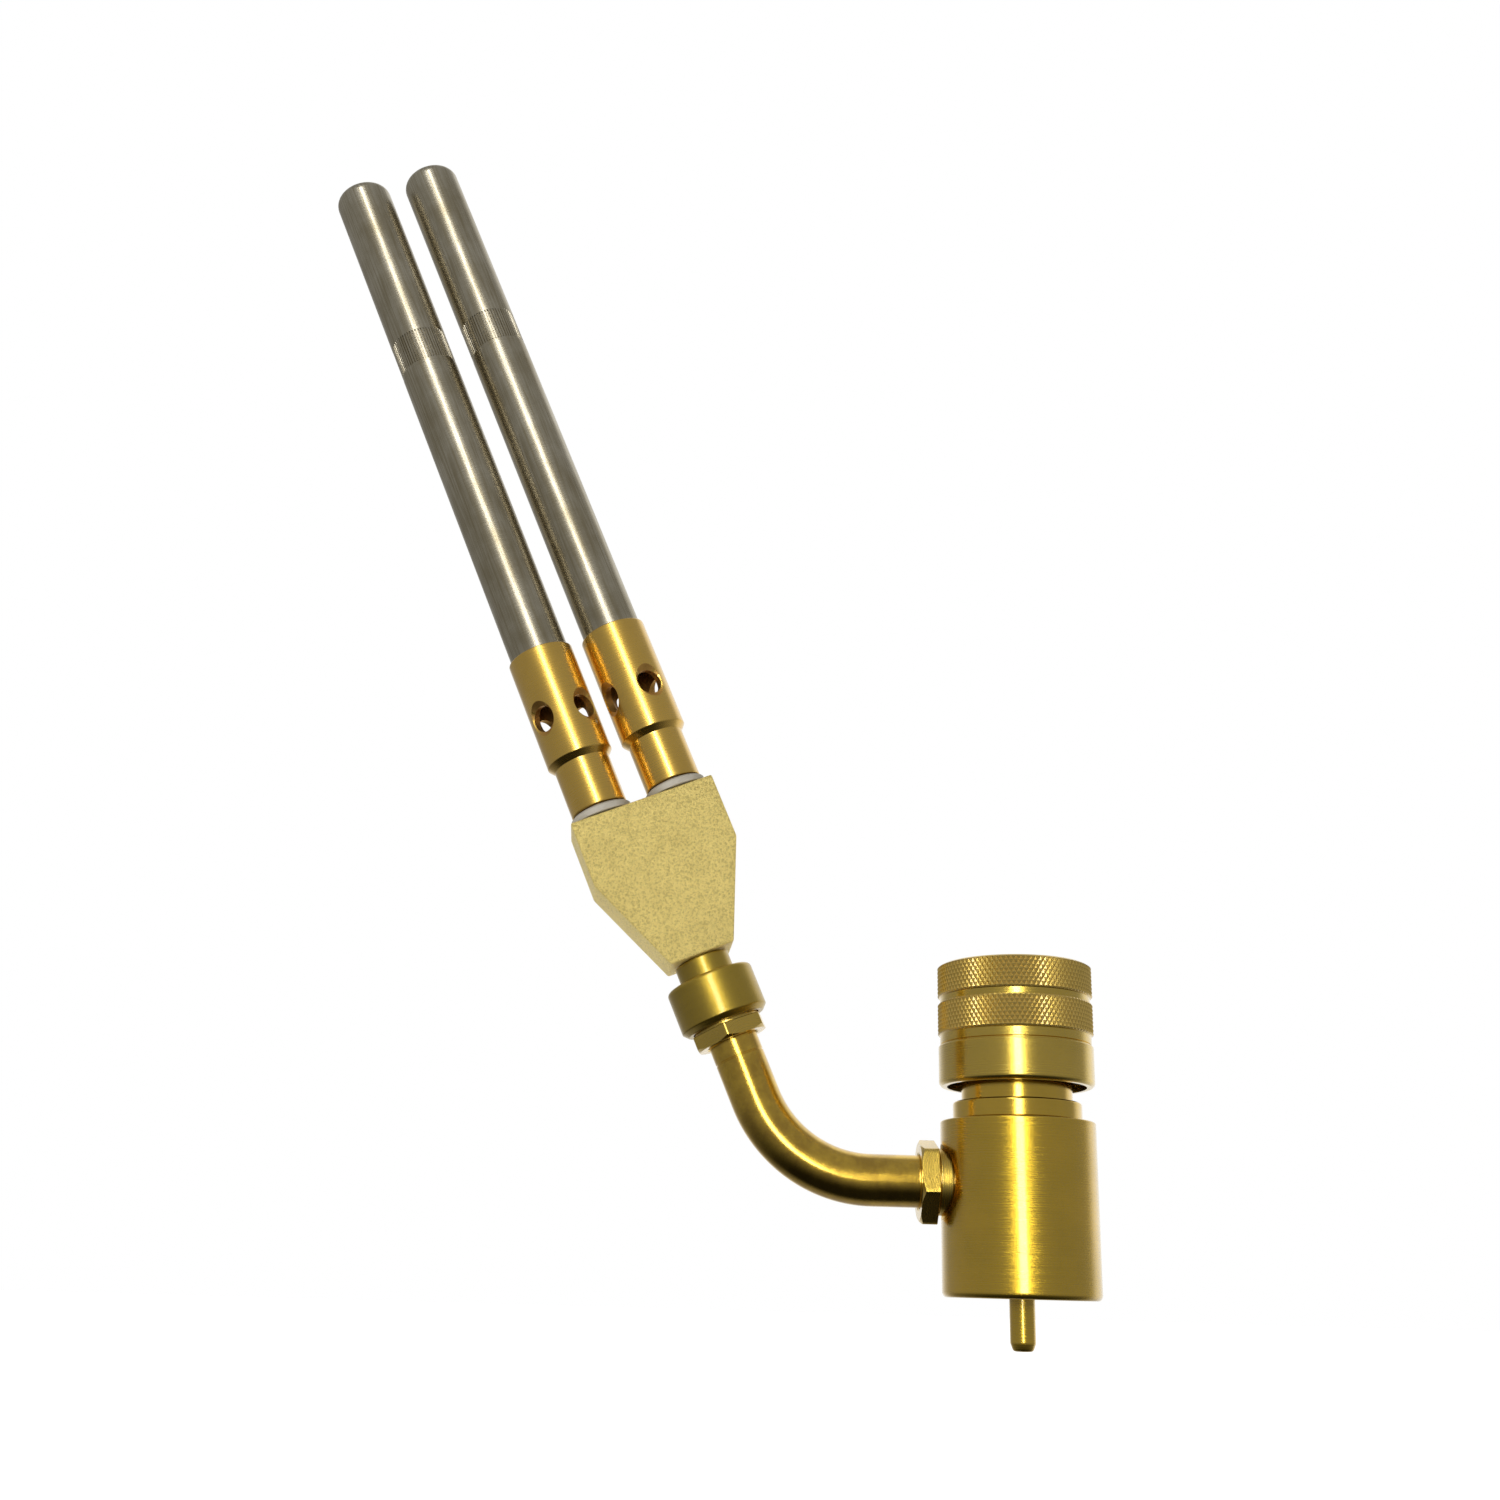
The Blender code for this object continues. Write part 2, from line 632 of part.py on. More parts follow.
def make_manifold(mats, head_frame):
    half, foot = BLOCK_W / 2, BLOCK_FOOT_W / 2
    shoulder = BLOCK_H - BLOCK_SIDE
    outline = [(-foot, 0), (foot, 0), (half, shoulder), (half, BLOCK_H), (-half, BLOCK_H),
               (-half, shoulder)]
    block = add_object("manifold_block", prism(outline, BLOCK_T), mats["cast_brass"], head_frame)
    block.location = (0, 0, BLOCK_Z * MM)
    bevel = block.modifiers.new("edge", "BEVEL")
    bevel.width = BLOCK_EDGE * MM
    bevel.segments = 1
    inlet = spun([
        (0, -OVERCUT),
        (NIPPLE_TAIL_R + GAP, -OVERCUT),
        (NIPPLE_TAIL_R + GAP, NIPPLE_TAIL + GAP),
        (NIPPLE_BORE_R, NIPPLE_TAIL + GAP),
        (NIPPLE_BORE_R, PASSAGE_Z),
        (0, PASSAGE_Z),
    ], ROUND // 2, closed=False)
    add_cutter("inlet_passage", inlet, block)
    across = cylinder(PASSAGE_R, -BURNER_X, BURNER_X, ROUND // 2)
    placed(across, Matrix.Translation((0, 0, PASSAGE_Z)) @ Matrix.Rotation(math.pi / 2, 4, "Y"))
    add_cutter("cross_passage", across, block)
    for side, sign in (("left", -1), ("right", 1)):
        port = cylinder(COLLAR_TAIL[0] + GAP, PASSAGE_Z - PORT_OVERLAP, BLOCK_H + OVERCUT)
        placed(port, Matrix.Translation((sign * BURNER_X, 0, 0)))
        add_cutter("burner_port_" + side, port, block)


# ---------------------------------------------------------------- burners
def make_burner(mats, side, frame):
    tail_r, tail_low = COLLAR_TAIL
    collar_low, collar_high = COLLAR_Z
    washer_low = GAP
    neck_low = washer_low + WASHER_T
    turned("sealing_washer_" + side, [
        (tail_r + GAP, washer_low),
        (WASHER_R, washer_low),
        (WASHER_R, neck_low - WASHER_EDGE),
        (BURNER_NECK_R, neck_low - GAP),
        (tail_r + GAP, neck_low - GAP),
    ], mats["washer_plastic"], frame)

    nose_bore_r, nose_low = NOSE_BORE
    cone_low, cone_high = MIXER_CONE_Z
    collar = turned("burner_collar_" + side, [
        (JET_BORE_R, tail_low),
        (tail_r, tail_low),
        (tail_r, neck_low),
        (BURNER_NECK_R, neck_low),
        (BURNER_NECK_R, collar_low - COLLAR_TAPER),
        (COLLAR_R, collar_low),
        (COLLAR_R, collar_high - COLLAR_EDGE),
        (COLLAR_R - COLLAR_EDGE, collar_high),
        (TUBE_SEAT_R, collar_high),
        (TUBE_SEAT_R, TUBE_SEAT_Z),
        (MIXER_R, TUBE_SEAT_Z),
        (MIXER_R, cone_high),
        (nose_bore_r, cone_low),
        (nose_bore_r, nose_low),
        (JET_BORE_R, nose_low),
    ], mats["burner_brass"], frame)
    reach = COLLAR_R + OVERCUT
    for index, angle in enumerate(AIR_DRILLS):
        drill = cylinder(AIR_HOLE_R, -reach, reach, AIR_DRILL_SIDES)
        heading = Matrix.Rotation(math.radians(angle + AIR_HOLE_TURN[side]), 4, "Z")
        across = Matrix.Rotation(math.pi / 2, 4, "Y")
        placed(drill, Matrix.Translation((0, 0, AIR_HOLE_Z)) @ heading @ across)
        add_cutter(f"air_drill_{side}_{index}", drill, collar)

    foot, shoulder, cone, tip = JET_Z
    turned("gas_jet_" + side, [
        (JET_ORIFICE_R, foot),
        (JET_BORE_R - GAP, foot),
        (JET_BORE_R - GAP, shoulder),
        (nose_bore_r - GAP, shoulder),
        (nose_bore_r - GAP, cone),
        (JET_TIP_R, tip),
        (JET_ORIFICE_R, tip),
    ], mats["inner_brass"], frame, sides=ROUND_SMALL)
    filter_low, filter_high = JET_FILTER_Z
    turned("jet_filter_" + side, [
        (0, filter_low),
        (JET_BORE_R - GAP, filter_low),
        (JET_BORE_R - GAP, filter_high),
        (0, filter_high),
    ], mats["sintered_bronze"], frame, sides=ROUND_SMALL, closed=False)
    make_flame_tube(mats, side, frame)
    make_flame_holder(mats, side, frame)


def make_flame_tube(mats, side, frame):
    mouth_center = (FLAME_TUBE_R - MOUTH_ROUND, FLAME_TIP - MOUTH_ROUND)
    wall = FLAME_TUBE_R - FLAME_BORE_R
    turned("flame_tube_" + side, [
        (FLAME_BORE_R, TUBE_SEAT_Z + GAP),
        (FLAME_TUBE_R, TUBE_SEAT_Z + GAP),
        *arc(mouth_center, MOUTH_ROUND, 0, MOUTH_TURN, 4),
        *arc(mouth_center, MOUTH_ROUND - wall, MOUTH_TURN, 0, 3),
    ], mats["flame_steel"], frame)


def make_flame_holder(mats, side, frame):
    low, high = BAND_Z
    holder = turned("flame_holder_" + side, [
        (0, low),
        (HOLDER_R - EDGE, low),
        (HOLDER_R, low + EDGE),
        (HOLDER_R, high - EDGE),
        (HOLDER_R - EDGE, high),
        (0, high),
    ], mats["flame_steel"], frame, closed=False)
    run = (low - OVERCUT, high + OVERCUT, HOLDER_DRILL_SIDES)
    add_cutter("holder_drill_" + side, cylinder(HOLDER_BORE_R, *run), holder)
    for index in range(HOLDER_HOLES):
        drill = cylinder(HOLDER_HOLE_R, *run)
        turn = Matrix.Rotation(math.tau * index / HOLDER_HOLES, 4, "Z")
        placed(drill, turn @ Matrix.Translation((HOLDER_PITCH_R, 0, 0)))
        add_cutter(f"holder_drill_{side}_{index}", drill, holder)


# ---------------------------------------------------------------- assembly
def main():
    for obj in list(bpy.data.objects):
        bpy.data.objects.remove(obj, do_unlink=True)
    mats = make_materials()

    outlet = Matrix.Translation((-BODY_R, 0, OUTLET_Z)) @ Matrix.Rotation(-math.pi / 2, 4, "Y")
    outlet_frame = add_empty("outlet_frame", outlet)
    fixed_frame = add_empty("swivel_fixed_frame", swivel_matrix(0))
    head_frame = add_empty("head_frame", swivel_matrix(HEAD_TWIST))

    make_valve_body(mats, outlet)
    make_valve_bonnet(mats)
    make_plunger(mats)
    make_stem(mats)
    make_knob(mats)
    make_inlet(mats)
    make_outlet(mats, outlet_frame)
    make_bent_tube(mats)
    make_swivel(mats, fixed_frame, head_frame)
    make_manifold(mats, head_frame)
    for side, sign in (("left", -1), ("right", 1)):
        place = Matrix.Translation((sign * BURNER_X, 0, BLOCK_Z + BLOCK_H))
        frame = add_empty("burner_frame_" + side, place, head_frame)
        make_burner(mats, side, frame)


main()
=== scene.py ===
"""Finished look of the twin-flame brass hand torch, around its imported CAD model.

Lengths are in millimetres until a mesh is made, which is in metres. The torch stands along +Z,
its outlet points to -X and it faces -Y. Pieces of the head are modelled along the head's own axis.
"""

import json
import math

import bmesh
import bpy
from mathutils import Matrix, Vector


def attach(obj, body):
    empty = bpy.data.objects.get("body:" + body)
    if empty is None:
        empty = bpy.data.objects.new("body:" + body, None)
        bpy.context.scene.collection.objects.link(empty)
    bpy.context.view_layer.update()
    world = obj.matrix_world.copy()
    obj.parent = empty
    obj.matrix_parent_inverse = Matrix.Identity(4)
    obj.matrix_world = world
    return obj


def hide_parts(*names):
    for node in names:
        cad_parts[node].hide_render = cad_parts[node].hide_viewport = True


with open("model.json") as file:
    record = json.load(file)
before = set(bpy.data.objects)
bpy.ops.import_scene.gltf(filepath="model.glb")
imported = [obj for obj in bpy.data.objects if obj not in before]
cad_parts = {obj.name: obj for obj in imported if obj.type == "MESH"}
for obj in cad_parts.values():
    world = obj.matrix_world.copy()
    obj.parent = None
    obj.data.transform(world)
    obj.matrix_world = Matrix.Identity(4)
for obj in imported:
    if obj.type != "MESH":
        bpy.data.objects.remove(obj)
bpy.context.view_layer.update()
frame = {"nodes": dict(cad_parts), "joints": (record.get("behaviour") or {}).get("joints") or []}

MM = 0.001
GAP = 0.3                   # clearance between pieces that meet
SHARP_ANGLE = 27            # degrees; edges sharper than this are shaded as edges
FILLET_STEPS = 4
FILLET_SHARE = 0.49         # most of an edge that one fillet may use
FILLET_SUPPORT = 0.2        # row beside each fillet, which keeps its shading to itself
ON_AXIS = 1e-6              # a smaller radius is one point on the axis
OVERCUT = 1.0               # how far a cutter passes the face that it opens

# ---------------------------------------------------------------- sizes (mm)
SIDES = 128
BODY_R = 15.25
BODY_H = 33.15
BODY_CHAMFER = 1.4
SOCKET_R = 12.4
SOCKET_DEPTH = 15.0
SOCKET_LEAD = 0.8
THREAD_PITCH = 1.27
THREAD_DEPTH = 0.65
THREAD_TOP = 12.6
THREAD_ROWS = 6             # mesh rows to one turn of the thread
SEAT_Z = 19.0
ORIFICE_R = 1.2
CHAMBER_R = 6.0
CHAMBER_CONE = 2.0
BONNET_BORE_R = 9.3
BONNET_BORE_Z = 27.0
PORT_R = (2.2, 4.8)
PORT_FLOOR = -7.3

STEP_R = 12.7
STEP_TOP = 36.9
NECK_R = 10.95
NECK_TOP = 49.0
STEM_R = 3.0
GLAND_R = 4.3
GLAND_Z = 42.0
STEM_TOP = 58.2
SCREW_R = 1.5
SCREW_LOW = 51.0
SCREW_SEAT = 61.0
SCREW_HEAD = (4.2, 2.1)
SCREW_SOCKET = (1.7, 1.4)

KNOB_R = 15.5
KNOB_RING_R = 15.4
KNOB_BOTTOM = 40.0
KNOB_CHAMFER = 0.54         # on the ring's lower edge
KNOB_RING_TOP = 47.85
KNOB_BAND_R = 15.05         # smooth band under the knurls
KNOB_BETWEEN_R = 15.0       # smooth band between the knurls
KNOB_GROOVE_R = 14.8        # line between the ring and the band
LOWER_KNURL_Z = (50.15, 56.4)
UPPER_KNURL_Z = (57.75, 64.0)
KNURL_TEETH = 97
KNURL_DEPTH = 0.25
KNURL_ROWS = 7
KNURL_MARGIN = 0.3          # plain edge of a band, above and below its diamonds
KNOB_HOLLOW_R = 13.8
KNOB_WEB_Z = 55.0
KNOB_HUB_R = 6.0
KNOB_HUB_Z = 51.0
KNOB_TOP_RECESS = (11.5, 0.8)
KNOB_SCREW_HOLE_R = 5.5

PIN_R = 2.45
PIN_TIP_Z = -9.4
PIN_BORE_R = 0.8
PIN_FLANGE = (3.6, 13.4)
PIN_HOLE_R = 3.5
PIN_HOLE_Z = 18.0
PIN_TOP = 16.6
INLET_SEAL = (5.3, 13.35, 1.3)

OUTLET_Z = 21.35
SPIGOT_R = 6.4
SPOTFACE_R = 7.2
SPOTFACE_DEPTH = 1.81
SPOTFACE_REACH = 3.0        # the cutter's length outside the barrel
SPIGOT_TAIL = (4.5, -7.0)
SPIGOT_BORE_R = 3.0
SPIGOT_THREAD_R = 5.9
OUTLET_NUT_AF = 14.6
OUTLET_NUT_Z = (1.1, 4.5)
OUTLET_NUT_TURN = 13.6
NUT_BORE_R = 6.2
NUT_LIP = 0.9
NUT_SIDES = 144
HEX_CHAMFER = (1.0, 0.62)   # its depth at the corners, and its height
HEX_EDGE = 0.12             # blunt corners and back edge
HEX_RIM = 0.05              # the turned face stays inside the flats

TUBE_R = 5.0
TUBE_BORE_R = 4.0
TUBE_START = 0.3
BEND_START = 13.8
BEND_R = 25.0
BEND_STEPS = 40
TUBE_SIDES = 72
AFTER_BEND = 9.5
TUBE_END = 12.7
TUBE_RING_AT = 0.9          # fine ring on the tube, before the swivel's datum
TUBE_RING_DEPTH = 0.12

HEAD_TWIST = 4.6
SWIVEL_NUT_AF = 14.0
SWIVEL_NUT_Z = (2.75, 5.75)
SWIVEL_NUT_TURN = 18.5
SLEEVE_R = 9.0
SLEEVE_Z = (6.35, 16.2)
SLEEVE_CHAMFER = 1.0
SLEEVE_BORE_R = 7.0
SLEEVE_FLOOR = 13.2
FLANGE_LOW = 9.5
NIPPLE_R = 5.65
NIPPLE_TAIL_R = 4.3
NIPPLE_TAIL = 4.4
NIPPLE_BORE_R = 2.5
BLOCK_Z = 20.55
BLOCK_H = 34.6
BLOCK_SIDE = 14.15
BLOCK_W = 31.05
BLOCK_FOOT_W = 13.5
BLOCK_T = 12.2
BLOCK_EDGE = 0.38
PASSAGE_R = 2.2
PASSAGE_Z = 24.0
PORT_OVERLAP = 2.0          # how far the burner ports reach past the cross passage's axis

BURNER_X = 8.26
WASHER_R = 6.55
WASHER_T = 2.0
BURNER_NECK_R = 6.0
COLLAR_R = 7.1
COLLAR_Z = (14.35, 39.25)
COLLAR_TAPER = 1.3
COLLAR_TAIL = (4.0, -10.0)
COLLAR_TOP_EDGE = 0.75
COLLAR_LIP = 1.0            # top of the collar, which keeps the outside's finish, without the inside's painted shade
JET_BORE_R = 3.3
NOSE_BORE = (2.2, 5.3)
MIXER_CONE_Z = (12.5, 16.0)
MIXER_R = 5.3
AIR_HOLE_R = 2.75
AIR_HOLE_Z = 24.0
AIR_HOLE_TURN = {"left": -0.9, "right": -21.4}
AIR_SINK_DEPTH = 0.85
AIR_SINK_SLOPE = 1.4
AIR_SINK_RISE = 0.1         # the countersinks sit this much above the holes
AIR_SINK_FOOT = 0.98        # radius of a countersink's foot, as a share of the hole's
AIR_HOLE_ANGLES = (45, 135)  # degrees; each drill opens two holes
AIR_ROWS = (4.4, 11)        # extra rows round the holes: half their height, and how many
BURNER_SIDES = 192
TUBE_SEAT_R = 6.55
TUBE_SEAT_Z = 30.0
FLAME_TUBE_R = 6.35
FLAME_BORE_R = 5.6
FLAME_TIP = 166.1
MOUTH_ROUND = 2.4
MOUTH_TURN = 78             # degrees that the mouth is rolled in
MOUTH_STEPS = (9, 7)        # outside and inside
MOUTH_SUPPORT = 0.4
BAND_Z = (114.7, 122.6)
BAND_GROOVES = 62
BAND_COLUMNS = 8            # mesh columns from one groove to the next
BAND_SUNK = 3               # how many of them are the groove
BAND_RECESS = 0.04          # the band's land is this much smaller than the tube
BAND_DEPTH = 0.22
BAND_END = 0.3              # plain end of the band, above and below the grooves
BAND_STEPS = (0.35, 0.75)   # rows beside the band: end of its slope, and support
HOLDER_R = 5.3
HOLDER_HOLES = 6
HOLDER_PITCH_R = 3.3
HOLDER_BORE_R = 1.2
HOLDER_HOLE_R = 0.9


# ---------------------------------------------------------------- outlines and meshes
def outline(points, closed=True):
    """Profile of (radius, height) points; a third number rounds that corner."""
    result = []
    count = len(points)
    for index, point in enumerate(points):
        if len(point) == 2 or (not closed and index in (0, count - 1)):
            result.append((point[0], point[1]))
            continue
        here = Vector(point[:2])
        before = Vector(points[index - 1][:2]) - here
        after = Vector(points[(index + 1) % count][:2]) - here
        half = before.angle(after) / 2
        reach = min(point[2] / math.tan(half), before.length * FILLET_SHARE,
                    after.length * FILLET_SHARE)
        radius = reach * math.tan(half)
        start = here + before.normalized() * reach
        end = here + after.normalized() * reach
        center = here + (before.normalized() + after.normalized()).normalized() * (
            radius / math.sin(half))
        first, last = start - center, end - center
        turn = first.angle_signed(last)
        spare_before = before.length / 2 - reach
        spare_after = after.length / 2 - reach
        if spare_before > FILLET_SUPPORT:
            result.append(tuple(start + before.normalized() * FILLET_SUPPORT))
        for step in range(FILLET_STEPS + 1):
            arm = first.copy()
            arm.rotate(Matrix.Rotation(-turn * step / FILLET_STEPS, 2))
            result.append(tuple(center + arm))
        if spare_after > FILLET_SUPPORT:
            result.append(tuple(end + after.normalized() * FILLET_SUPPORT))
    return result


def arc(center, radius, start, end, steps):
    angles = [math.radians(start + (end - start) * i / steps) for i in range(steps + 1)]
    return [(center[0] + radius * math.cos(a), center[1] + radius * math.sin(a)) for a in angles]


def revolve(rows, sides=SIDES, closed=True, turn=0.0, knurled=()):
    """Rings about Z. A row is (radius, height), or a function of the angle that gives both.

    Between two knurled rows the quads are split along the line between their low corners.
    """
    bm = bmesh.new()
    rings = []
    for row in rows:
        if not callable(row) and row[0] < ON_AXIS:
            rings.append([bm.verts.new((0.0, 0.0, row[1]))])
            continue
        ring = []
        for step in range(sides):
            angle = math.tau * step / sides + turn
            radius, height = row(angle) if callable(row) else row
            ring.append(bm.verts.new((radius * math.cos(angle), radius * math.sin(angle), height)))
        rings.append(ring)
    pairs = [(i, i + 1) for i in range(len(rings) - 1)]
    if closed:
        pairs.append((len(rings) - 1, 0))
    for first, second in pairs:
        low, high = rings[first], rings[second]
        for step in range(sides):
            after = (step + 1) % sides
            if len(low) == 1 and len(high) == 1:
                break
            if len(low) == 1:
                bm.faces.new((low[0], high[after], high[step]))
            elif len(high) == 1:
                bm.faces.new((low[step], low[after], high[0]))
            elif first in knurled and second in knurled:
                a, b, c, d = low[step], low[after], high[after], high[step]
                if (step + first) % 2:
                    bm.faces.new((a, b, d))
                    bm.faces.new((b, c, d))
                else:
                    bm.faces.new((a, b, c))
                    bm.faces.new((a, c, d))
            else:
                bm.faces.new((low[step], low[after], high[after], high[step]))
    return bm


def rod(radius, low, high, sides=40):
    return revolve([(0, low), (radius, low), (radius, high), (0, high)], sides, closed=False)


def make_mesh(name, bm):
    """A bmesh in millimetres as a mesh in metres, with its normals out."""
    bmesh.ops.scale(bm, vec=(MM, MM, MM), verts=bm.verts)
    bmesh.ops.recalc_face_normals(bm, faces=bm.faces)
    mesh = bpy.data.meshes.new(name)
    bm.to_mesh(mesh)
    bm.free()
    return mesh


def finish_mesh(mesh):
    """Smooth shading, with the sharp edges marked."""
    mesh.shade_smooth()
    mesh.set_sharp_from_angle(angle=math.radians(SHARP_ANGLE))


def metres(matrix):
    scaled = matrix.copy()
    scaled.translation = matrix.translation * MM
    return scaled


def piece(name, bm, material, body, nodes, place=None, cutters=()):
    """Make one piece, cut it, hide the CAD nodes it stands for, and hang it on the empty of the
    body it rides on.
    """
    obj = bpy.data.objects.new(name, make_mesh(name, bm))
    bpy.context.scene.collection.objects.link(obj)
    tools = []
    for index, cutter in enumerate(cutters):
        tool = bpy.data.objects.new(f"{name}_tool_{index}", make_mesh("tool", cutter))
        bpy.context.scene.collection.objects.link(tool)
        cut = obj.modifiers.new("cut", "BOOLEAN")
        cut.object = tool
        cut.solver = "EXACT"
        tools.append(tool)
    if tools:
        evaluated = obj.evaluated_get(bpy.context.evaluated_depsgraph_get())
        mesh = bpy.data.meshes.new_from_object(evaluated)
        obj.modifiers.clear()
        obj.data = mesh
        for tool in tools:
            bpy.data.objects.remove(tool, do_unlink=True)
    finish_mesh(obj.data)
    obj.data.materials.clear()
    obj.data.materials.append(material)
    if place is not None:
        obj.matrix_world = metres(place)
    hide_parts(*nodes)
    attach(obj, body)
    return obj


def dress_faces(obj, material, chosen):
    """A second material on the faces whose (radius, height) the test accepts."""
    obj.data.materials.append(material)
    for face in obj.data.polygons:
        center = face.center / MM
        if chosen(math.hypot(center.x, center.y), center.z):
            face.material_index = 1


# ---------------------------------------------------------------- materials
COAT_ROUGHNESS = 0.12
COAT_IOR = 1.6
TUBE_COAT = 0.6
TARNISH_COVER = 0.35        # the most that broad tarnish changes the colour
CAST_METALLIC = 0.6         # the blasted skin scatters like a part-metal surface


class Nodes:
    """Short way to add and link shader nodes."""

    def __init__(self, name):
        self.material = bpy.data.materials.new(name)
        self.material.use_nodes = True
        self.tree = self.material.node_tree
        self.shader = self.tree.nodes["Principled BSDF"]
        coordinates = self.add("ShaderNodeTexCoord")
        self.place = self.vector_math("SCALE", coordinates.outputs["Object"], scale=1 / MM)

    def add(self, kind, **settings):
        node = self.tree.nodes.new(kind)
        for key, value in settings.items():
            setattr(node, key, value)
        return node

    def feed(self, socket, value):
        if isinstance(value, bpy.types.NodeSocket):
            self.tree.links.new(value, socket)
        elif value is not None:
            socket.default_value = value

    def math(self, operation, first, second):
        node = self.add("ShaderNodeMath", operation=operation)
        self.feed(node.inputs[0], first)
        self.feed(node.inputs[1], second)
        return node.outputs[0]

    def vector_math(self, operation, first, second=None, scale=None):
        node = self.add("ShaderNodeVectorMath", operation=operation)
        self.feed(node.inputs[0], first)
        self.feed(node.inputs[1], second)
        if scale is not None:
            self.feed(node.inputs["Scale"], scale)
        return node.outputs["Value" if operation == "LENGTH" else "Vector"]

    def noise(self, scale, detail=3.0, roughness=0.5, along=None, vector=None):
        """Noise per millimetre: in space, or along one number."""
        node = self.add("ShaderNodeTexNoise", noise_dimensions="3D" if along is None else "1D")
        if along is None:
            self.feed(node.inputs["Vector"], self.place if vector is None else vector)
        else:
            self.feed(node.inputs["W"], along)
        node.inputs["Scale"].default_value = scale
        node.inputs["Detail"].default_value = detail
        node.inputs["Roughness"].default_value = roughness
        return node.outputs["Fac"]

    def spread(self, value, low, high, to_low=0.0, to_high=1.0):
        node = self.add("ShaderNodeMapRange")
        self.feed(node.inputs["Value"], value)
        node.inputs["From Min"].default_value = low
        node.inputs["From Max"].default_value = high
        node.inputs["To Min"].default_value = to_low
        node.inputs["To Max"].default_value = to_high
        return node.outputs["Result"]

    def mix(self, factor, first, second):
        node = self.add("ShaderNodeMix", data_type="RGBA")
        self.feed(node.inputs["Factor"], factor)
        self.feed(node.inputs["A"], first if not isinstance(first, tuple) else (*first, 1.0))
        self.feed(node.inputs["B"], second if not isinstance(second, tuple) else (*second, 1.0))
        return node.outputs["Result"]

    def bump(self, height, distance, under=None):
        """Raised by height, with distance in millimetres, over the bump under it."""
        node = self.add("ShaderNodeBump")
        self.feed(node.inputs["Height"], height)
        self.feed(node.inputs["Normal"], under)
        node.inputs["Distance"].default_value = distance * MM
        node.inputs["Strength"].default_value = 1.0
        return node.outputs["Normal"]

    def across_lathe(self):
        """A number that rises along the turning axis and outwards, constant round it."""
        split = self.add("ShaderNodeSeparateXYZ")
        self.feed(split.inputs[0], self.place)
        flat = self.add("ShaderNodeCombineXYZ")
        self.feed(flat.inputs["X"], split.outputs["X"])
        self.feed(flat.inputs["Y"], split.outputs["Y"])
        radius = self.vector_math("LENGTH", flat.outputs[0])
        return self.math("ADD", split.outputs["Z"], radius)

    def coat(self, weight):
        """A clear layer over the metal, for the crisp reflections on top of the soft ones."""
        self.shader.inputs["Coat Weight"].default_value = weight
        self.shader.inputs["Coat Roughness"].default_value = COAT_ROUGHNESS
        self.shader.inputs["Coat IOR"].default_value = COAT_IOR

    def finish(self, color, roughness, normal, metallic=1.0):
        self.feed(self.shader.inputs["Base Color"], color)
        self.feed(self.shader.inputs["Roughness"], roughness)
        self.feed(self.shader.inputs["Normal"], normal)
        self.shader.inputs["Metallic"].default_value = metallic
        return self.material


def turned_metal(name, color, tarnish, roughness, line=0.02, coat=0.8):
    """Machined metal: tool rings of a depth in millimetres, soft tarnish and a little wear."""
    n = Nodes(name)
    n.coat(coat)
    across = n.across_lathe()
    fine = n.noise(5.0, 4.0, 0.75, along=across)
    broad = n.noise(0.55, 2.0, along=across)
    cloud = n.noise(0.09, 4.0, 0.6)
    spots = n.noise(1.6, 3.0, 0.65)
    tarnished = n.math("MULTIPLY", n.spread(cloud, 0.38, 0.68), TARNISH_COVER)
    tone = n.mix(tarnished, color, tarnish)
    tone = n.mix(n.spread(spots, 0.56, 0.74, 0.0, 0.3), tone, tarnish)
    tone = n.mix(n.spread(fine, 0.3, 0.7, 0.16, 0.0), tone, tarnish)
    rough = n.math("ADD", n.spread(fine, 0.25, 0.75, roughness - 0.05, roughness + 0.06),
                   n.spread(cloud, 0.3, 0.7, -0.03, 0.05))
    ringed = n.bump(n.math("ADD", fine, n.math("MULTIPLY", broad, 1.5)), line)
    return n.finish(tone, rough, ringed)


def drawn_metal(name, color, tarnish, roughness):
    """Drawn tube: smooth, with soft mottling and small scuffs."""
    n = Nodes(name)
    n.coat(TUBE_COAT)
    cloud = n.noise(0.22, 4.0, 0.65)
    scuff = n.noise(2.4, 4.0, 0.7)
    tone = n.mix(n.spread(cloud, 0.38, 0.62, 0.0, 0.7), color, tarnish)
    tone = n.mix(n.spread(scuff, 0.55, 0.75, 0.0, 0.35), tone, tarnish)
    rough = n.spread(scuff, 0.3, 0.75, roughness - 0.03, roughness + 0.08)
    return n.finish(tone, rough, n.bump(scuff, 0.012))


def cast_metal(name, color, dark):
    """Sand-blasted casting: even grain, darker in its pits and in broad clouds."""
    n = Nodes(name)
    grain = n.noise(2.2, 3.0, 0.7)
    pits = n.noise(5.0, 3.0, 0.65)
    cloud = n.noise(0.14, 3.0)
    tone = n.mix(n.spread(grain, 0.38, 0.52, 0.42, 0.0), color, dark)
    tone = n.mix(n.spread(pits, 0.57, 0.68, 0.0, 0.45), tone, dark)
    tone = n.mix(n.spread(cloud, 0.35, 0.7, 0.0, 0.12), tone, dark)
    rough = n.spread(pits, 0.3, 0.7, 0.26, 0.46)
    grained = n.bump(grain, 0.34, under=n.bump(pits, 0.16))
    return n.finish(tone, rough, grained, metallic=CAST_METALLIC)


